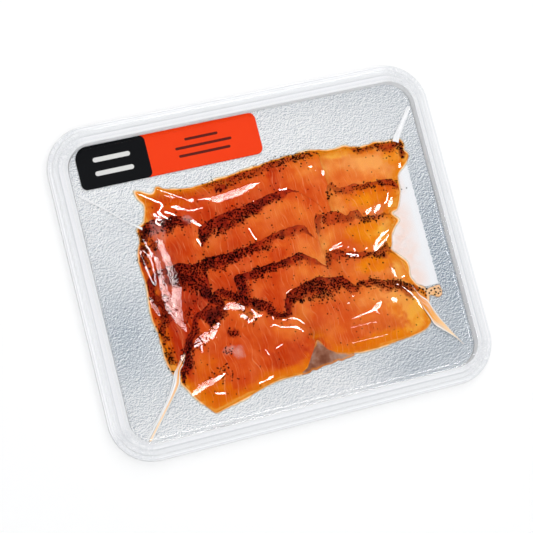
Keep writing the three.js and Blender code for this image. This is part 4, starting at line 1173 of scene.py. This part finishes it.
def crease_ribbon(number, card, points):
    """A ribbon just above the film along one crease: its x, y and z, and how strongly it shows."""
    across = np.array([-1.35, -0.95, -0.5, 0, 0.5, 0.95, 1.35])
    narrow, broad = np.array([0, 0.8, 1, 1, 1, 0.8, 0]), np.array([0, 0.8, 0.8, 0.6, 0.5, 0.5, 0])
    length = along(spline(points, 80)[:, :2])[-1]
    line = spline(points, max(int(length / CREASE_STEP), 6))
    run = along(line[:, :2])
    step = np.gradient(line[:, :2], axis=0)
    step /= np.maximum(np.hypot(*step.T), 1e-9)[:, None]
    half = np.maximum(line[:, 2:], LEAST_HALF)
    left, right = (1 + 0.22 * noise(run, np.full_like(run, 7.0 * number + k), 1.5, 81)
                   + 0.16 * noise(run, np.full_like(run, 5.0 * number + k), 3.6, 82) for k in (0, 3))
    wide = np.where(across < 0, left[:, None], right[:, None]) * across
    # a thin line keeps its width, and only its soft edge is fixed in size
    offset = wide * half + SOFT_EDGE * np.sign(across) * (abs(across) > 1)
    x = line[:, :1] - step[:, 1:] * offset
    y = line[:, 1:2] + step[:, :1] * offset
    arch = 0.1 * (1 - np.minimum(abs(across), 1) ** 2) * np.minimum(half, 0.5)
    z = sample(film_map, x, y) + CREASE_LIFT + arch
    c = CARDS[card]
    ends = smooth(np.minimum(run, run[-1] - run) / 0.6)[:, None] * np.minimum(line[:, 2:] / 0.2, 1)
    clear = lerp(c["thin"], c["broad"], smooth((half - c["start"]) / c["span"]))
    patchy = 0.78 + 0.35 * noise(run[:, None] + 9 * number, across * half * 2, 1.6, 83)
    profile = lerp(narrow, broad, smooth((half - 0.4) / 0.6))
    return x, y, z, ends * clear * profile * np.clip(patchy, 0.2, 1.2)


def make_creases():
    """One ribbon for each crease, in one mesh."""
    vertices, faces, fold, facing, count = [], [], [], [], 0
    for number, (card, points) in enumerate((card, points) for card in CREASES for points in CREASES[card]):
        x, y, z, shown = crease_ribbon(number, card, points)
        vertices.append(points_of(x, y, z))
        faces.append(grid_faces(*x.shape, count))
        fold.append(shown.ravel())
        facing.append(np.tile(np.array(Vector(CARDS[card]["facing"]).normalized()), (x.size, 1)))
        count += x.size
    attributes = {"fold": np.concatenate(fold), "facing": np.vstack(facing)}
    piece = new_object("film_creases", np.vstack(vertices), np.vstack(faces), crease_material(), attributes)
    place(piece, slot="film")


def make_web(web):
    """A strip of gathered film that lies in its ridge of the film."""
    step, sunk, across = 0.5, 0.05, 13
    count = int(along(spline(web["one"], 100))[-1] / step)
    one, two = spline(web["one"], count), spline(web["two"], count)
    t, u = np.linspace(0, 1, count)[:, None], np.linspace(0, 1, across)
    x, y = (one[:, None, k] + (two - one)[:, None, k] * u for k in (0, 1))
    flow = points_of(np.broadcast_to(t, x.shape), np.broadcast_to(u, x.shape), np.zeros_like(x))
    vertices = points_of(x, y, sample(film_map, x, y) - sunk)
    piece = new_object(web["name"], vertices, grid_faces(*x.shape), web_material(web["look"]), {"flow": flow})
    place(piece, slot="film")


make_film()
make_creases()
for web in WEBS:
    make_web(web)

# ------------------------------------------------------------------------------------- juice

# Flat lobes of juice on the board outside the slices: how brown and how white they are, and their outlines
LOBES = [
    dict(brown=0, white=0.52,
         outline=[(70.5, -31), (72.7, -31.6), (74.7, -33.6), (77, -33.1), (79.9, -32.5), (81.9, -33),
                  (82.2, -35.6), (81.1, -38), (78.8, -38.5), (76.9, -37.5), (74.9, -37.2), (74.2, -40),
                  (72, -43), (70.5, -40), (69, -34)]),
    # the notch between the slices: brown juice with painted shade
    dict(brown=1, white=0,
         outline=[(12.2, -45.2), (5.5, -52), (0.5, -60), (9, -59.4), (18, -58.4), (28.9, -57.2),
                  (20, -53)]),
]


def make_juice():
    """Thin juice round the pile, under the film: a fringe that fades outwards, and the lobes."""
    step = 0.45
    gx, gy = np.meshgrid(np.arange(-69, 86, step), np.arange(53, -73, -step))
    near = sample(blur(covered, 0.9), gx, gy)
    fringe = near + smooth(near / 0.25) * (0.2 * noise(gx, gy, 5, 91) + 0.08 * noise(gx, gy, 1.6, 92))
    wet = 1.1 * smooth((fringe - 0.05) / 0.5) * smooth((0.86 - near) / 0.2)
    brown, white = np.zeros_like(gx), smooth((0.58 - near) / 0.3)
    for lobe in LOBES:
        outline = spline(lobe["outline"] + lobe["outline"][:1], 80)[:-1]
        depth = inset(gx, gy, outline) + 0.5 * noise(gx, gy, 2, 93)
        wet = np.maximum(wet, 1.5 * smooth(depth / 1.2 + 0.4))
        brown = np.maximum(brown, lobe["brown"] * smooth(depth / 2.2 + 0.3))
        white = np.where(depth > -0.6, lobe["white"], white)
    sheet = in_box(gx, gy, LINER_BOX, (0.3, 0.3))
    z = np.where(sheet, LINER_Z, BOARD_Z) + JUICE_GAP + 0.35 * smooth(wet)
    quads = grid_faces(*gx.shape, flip=True)
    quads = quads[(wet.ravel()[quads] > 0.02).any(1) & (near.ravel()[quads] < 0.9).all(1)]
    used, quads = np.unique(quads, return_inverse=True)
    values = {"wet": wet.ravel()[used], "brown": brown.ravel()[used], "white": white.ravel()[used]}
    piece = new_object("juice", points_of(gx, gy, z)[used], quads.reshape(-1, 4), juice_material(), values)
    place(piece, slot="salmon")


make_juice()

# -------------------------------------------------------------------------------------- tray

# Rings of the tray's section: how far in from its ends and its long sides, and height. First the top, from
# the well over the inner wall and the flange to the outer edge, then the underside back to the middle.
TRAY_TOP = [
    (9.15, 8.55, 0.5), (9.15, 8.55, 1.6), (9.65, 9.05, 1.76), (9.35, 8.95, 2.2), (9.0, 8.9, 6.4),
    (8.9, 8.8, 6.8), (8.6, 8.6, 6.95), (7.8, 7.8, 7.0), (7.45, 7.45, 6.7), (7.1, 7.1, 7.0), (5.1, 5.5, 7.0),
    (4.75, 5.1, 6.6), (4.4, 4.7, 7.0), (3.2, 3.4, 7.0), (2.75, 3.0, 6.9), (2.3, 2.5, 6.2), (1.95, 2.1, 6.15),
    (1.6, 1.7, 6.4), (0.9, 0.9, 6.45), (0.45, 0.45, 6.3), (0.12, 0.12, 6.0), (0.0, 0.0, 5.6), (0.0, 0.0, 4.9),
]
TRAY_UNDER = [
    (0.5, 0.5, 4.9), (0.8, 0.8, 5.9), (2.5, 2.9, 5.9), (3.1, 3.5, 6.5), (6.4, 7.3, 6.5), (7.3, 7.9, 0.6),
    (7.7, 8.3, 0.1), (8.4, 9.0, 0.0),
]


def rounded(half_x, half_y, radius, per_corner=24, per_side=14):
    """Points round a rounded rectangle, anticlockwise from the lower end of its far right corner."""
    arcs = []
    for sx, sy, start in ((1, 1, 0), (-1, 1, 90), (-1, -1, 180), (1, -1, 270)):
        a = np.radians(start + np.linspace(0, 90, per_corner))
        cx, cy = sx * (half_x - radius), sy * (half_y - radius)
        arcs.append(np.c_[cx + radius * np.cos(a), cy + radius * np.sin(a)])
    share = np.arange(1, per_side)[:, None] / per_side
    sides = [lerp(arc[-1], after[0], share) for arc, after in zip(arcs, arcs[1:] + arcs[:1])]
    return np.vstack([part for pair in zip(arcs, sides) for part in pair])


def tray_ring(ix, iy, z, follow):
    """One ring. The inner edge and wall follow the board, which lies off the middle."""
    ring = rounded(TRAY_HALF[0] - ix, TRAY_HALF[1] - iy, TRAY_CORNER - ix)
    ring = ring + follow * np.array(BOARD_SHIFT) * np.clip((ix - 5.1) / 3.5, 0, 1)
    return np.c_[ring, np.full(len(ring), z)]


def make_tray():
    rings = [tray_ring(*ring, 1) for ring in TRAY_TOP] + [tray_ring(*ring, 0) for ring in TRAY_UNDER]
    count = len(rings[0])
    i = np.arange(count)
    after = np.roll(i, -1)
    faces = []
    for start in range(0, (len(rings) - 1) * count, count):
        faces += np.stack([start + i, start + i + count, start + after + count, start + after], 1).tolist()
    faces.append(i.tolist())
    faces.append(((len(rings) - 1) * count + i)[::-1].tolist())
    place(new_object("tray_shell", np.vstack(rings), faces, tray_material()), "tray", slot="tray_plastic")


make_tray()

# ------------------------------------------------------------------------------------- label

LABEL_T = 0.12
LABEL_GAP = 0.22  # from the film to the label's top
LABEL_LIFT = 0.9  # how far its far edge stands up
LIFTED_FROM = 73.4
# The label's corners: radius, left (-1) or right (1), near (-1) or far (1)
LABEL_CORNERS = [(6.5, -1, 1), (3.0, -1, -1), (3.4, 1, 1), (3.4, 1, -1)]


def round_label(x, y):
    """Pulls the corners of the label's grid in along their arcs."""
    for radius, sx, sy in LABEL_CORNERS:
        ox, oy = LABEL_X[sx > 0] - sx * radius, LABEL_Y[sy > 0] - sy * radius
        dx, dy = (x - ox) * sx, (y - oy) * sy
        k = np.maximum(dx, dy) / np.maximum(np.hypot(dx, dy), 1e-9)
        inside = (dx > 0) & (dy > 0)
        x = np.where(inside, ox + sx * dx * k, x)
        y = np.where(inside, oy + sy * dy * k, y)
    return x, y


def make_label():
    """The label lies on the film, and its far edge stands up a little."""
    gx, gy = np.meshgrid(np.linspace(*LABEL_X, 190), np.linspace(*LABEL_Y[::-1], 46))
    far_edge = LABEL_LIFT * smooth((gy - LIFTED_FROM) / 2.0)
    z = sample(film_map, gx, gy) + LABEL_GAP + far_edge + 0.06 * noise(gx, gy, 14, 71)
    x, y = round_label(gx, gy)
    vertices, faces = closed_sheet(np.dstack([x, y, z]), np.dstack([x, y, z - LABEL_T]))
    place(new_object("label_sheet", vertices, faces, label_material()), "label", slot="label")


make_label()

# --------------------------------------------------------------------------- board and liner

for node, material in (("board", foil_material()), ("liner", liner_material())):
    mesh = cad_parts[node].data
    mesh.materials.clear()
    mesh.materials.append(material)

# --------------------------------------------------------------------- stage, light, camera

FLOOR_HALF = 1500
# Softboxes: azimuth, elevation, distance, size, power, whether they light surfaces and whether they reflect
LAMPS = {
    "overhead": (250, 84, 1.7, (1.9, 1.9), 27, True, False),
    "key": (62, 52, 1.3, (0.9, 0.9), 5.5, True, False),
    "left card": (184, 39, 1.2, (0.45, 0.45), 9, False, True),
    "back card": (76, 20, 1.2, (0.45, 0.4), 13, False, True),
}
LAMP_TARGET = Vector((0, 0, 0.005))
# The camera fitted to the photo: what points right, up and forward in the picture, where it stands, its lens
CAMERA_AXES = ((0.95197, -0.24535, 0.18317), (0.2192, 0.96381, 0.15173), (0.21377, 0.10429, -0.9713))
CAMERA_AT = (-0.16475, -0.08214, 0.73306)
FOCAL_PIXELS = 1500
PHOTO_PIXELS = 533
SENSOR = 36.0


def make_floor():
    n = new_material("studio floor")
    pale = {"Base Color": (0.95, 0.95, 0.95, 1), "Roughness": 0.7, "Specular IOR Level": 0.0}
    shader = n.add("BsdfPrincipled", pale)
    corners = [(FLOOR_HALF * x, FLOOR_HALF * y, 0) for x, y in ((-1, -1), (1, -1), (1, 1), (-1, 1))]
    floor = new_object("floor", corners, [(0, 1, 2, 3)], n.finish(shader))


def softbox(name, azimuth, elevation, distance, size, watts, diffuse, gloss):
    light = bpy.data.lights.new(name, "AREA")
    light.shape = "RECTANGLE"
    light.size, light.size_y = size
    light.energy = watts
    a, e = math.radians(azimuth), math.radians(elevation)
    direction = Vector((math.cos(a) * math.cos(e), math.sin(a) * math.cos(e), math.sin(e)))
    lamp = bpy.data.objects.new(name, light)
    lamp.location = LAMP_TARGET + direction * distance
    lamp.rotation_euler = direction.to_track_quat("Z", "Y").to_euler()
    lamp.visible_diffuse = diffuse
    lamp.visible_glossy = gloss
    bpy.context.collection.objects.link(lamp)


def make_world():
    """Pale to look at, but dark in reflections, as if black flags stood round the set."""
    n = Nodes(bpy.data.worlds.new("studio"))
    strength = n.add("LightPath", output="Is Camera Ray") * 0.8 + 0.2
    strength = strength - n.add("LightPath", output="Is Glossy Ray") * 0.16
    sky = n.add("Background", {"Color": (0.97, 0.98, 1.0, 1), "Strength": strength})
    bpy.context.scene.world = n.finish(sky, "OutputWorld")
    bpy.context.scene.view_settings.view_transform = "Standard"


def make_camera():
    lens = bpy.data.cameras.new("camera")
    lens.sensor_width = SENSOR
    lens.lens = FOCAL_PIXELS / PHOTO_PIXELS * SENSOR
    camera = bpy.data.objects.new("camera", lens)
    right, up, forward = map(Vector, CAMERA_AXES)
    camera.matrix_world = Matrix((right, up, -forward)).transposed().to_4x4()
    camera.location = CAMERA_AT
    bpy.context.collection.objects.link(camera)
    bpy.context.scene.camera = camera


make_floor()
for name, setting in LAMPS.items():
    softbox(name, *setting)
make_world()
make_camera()
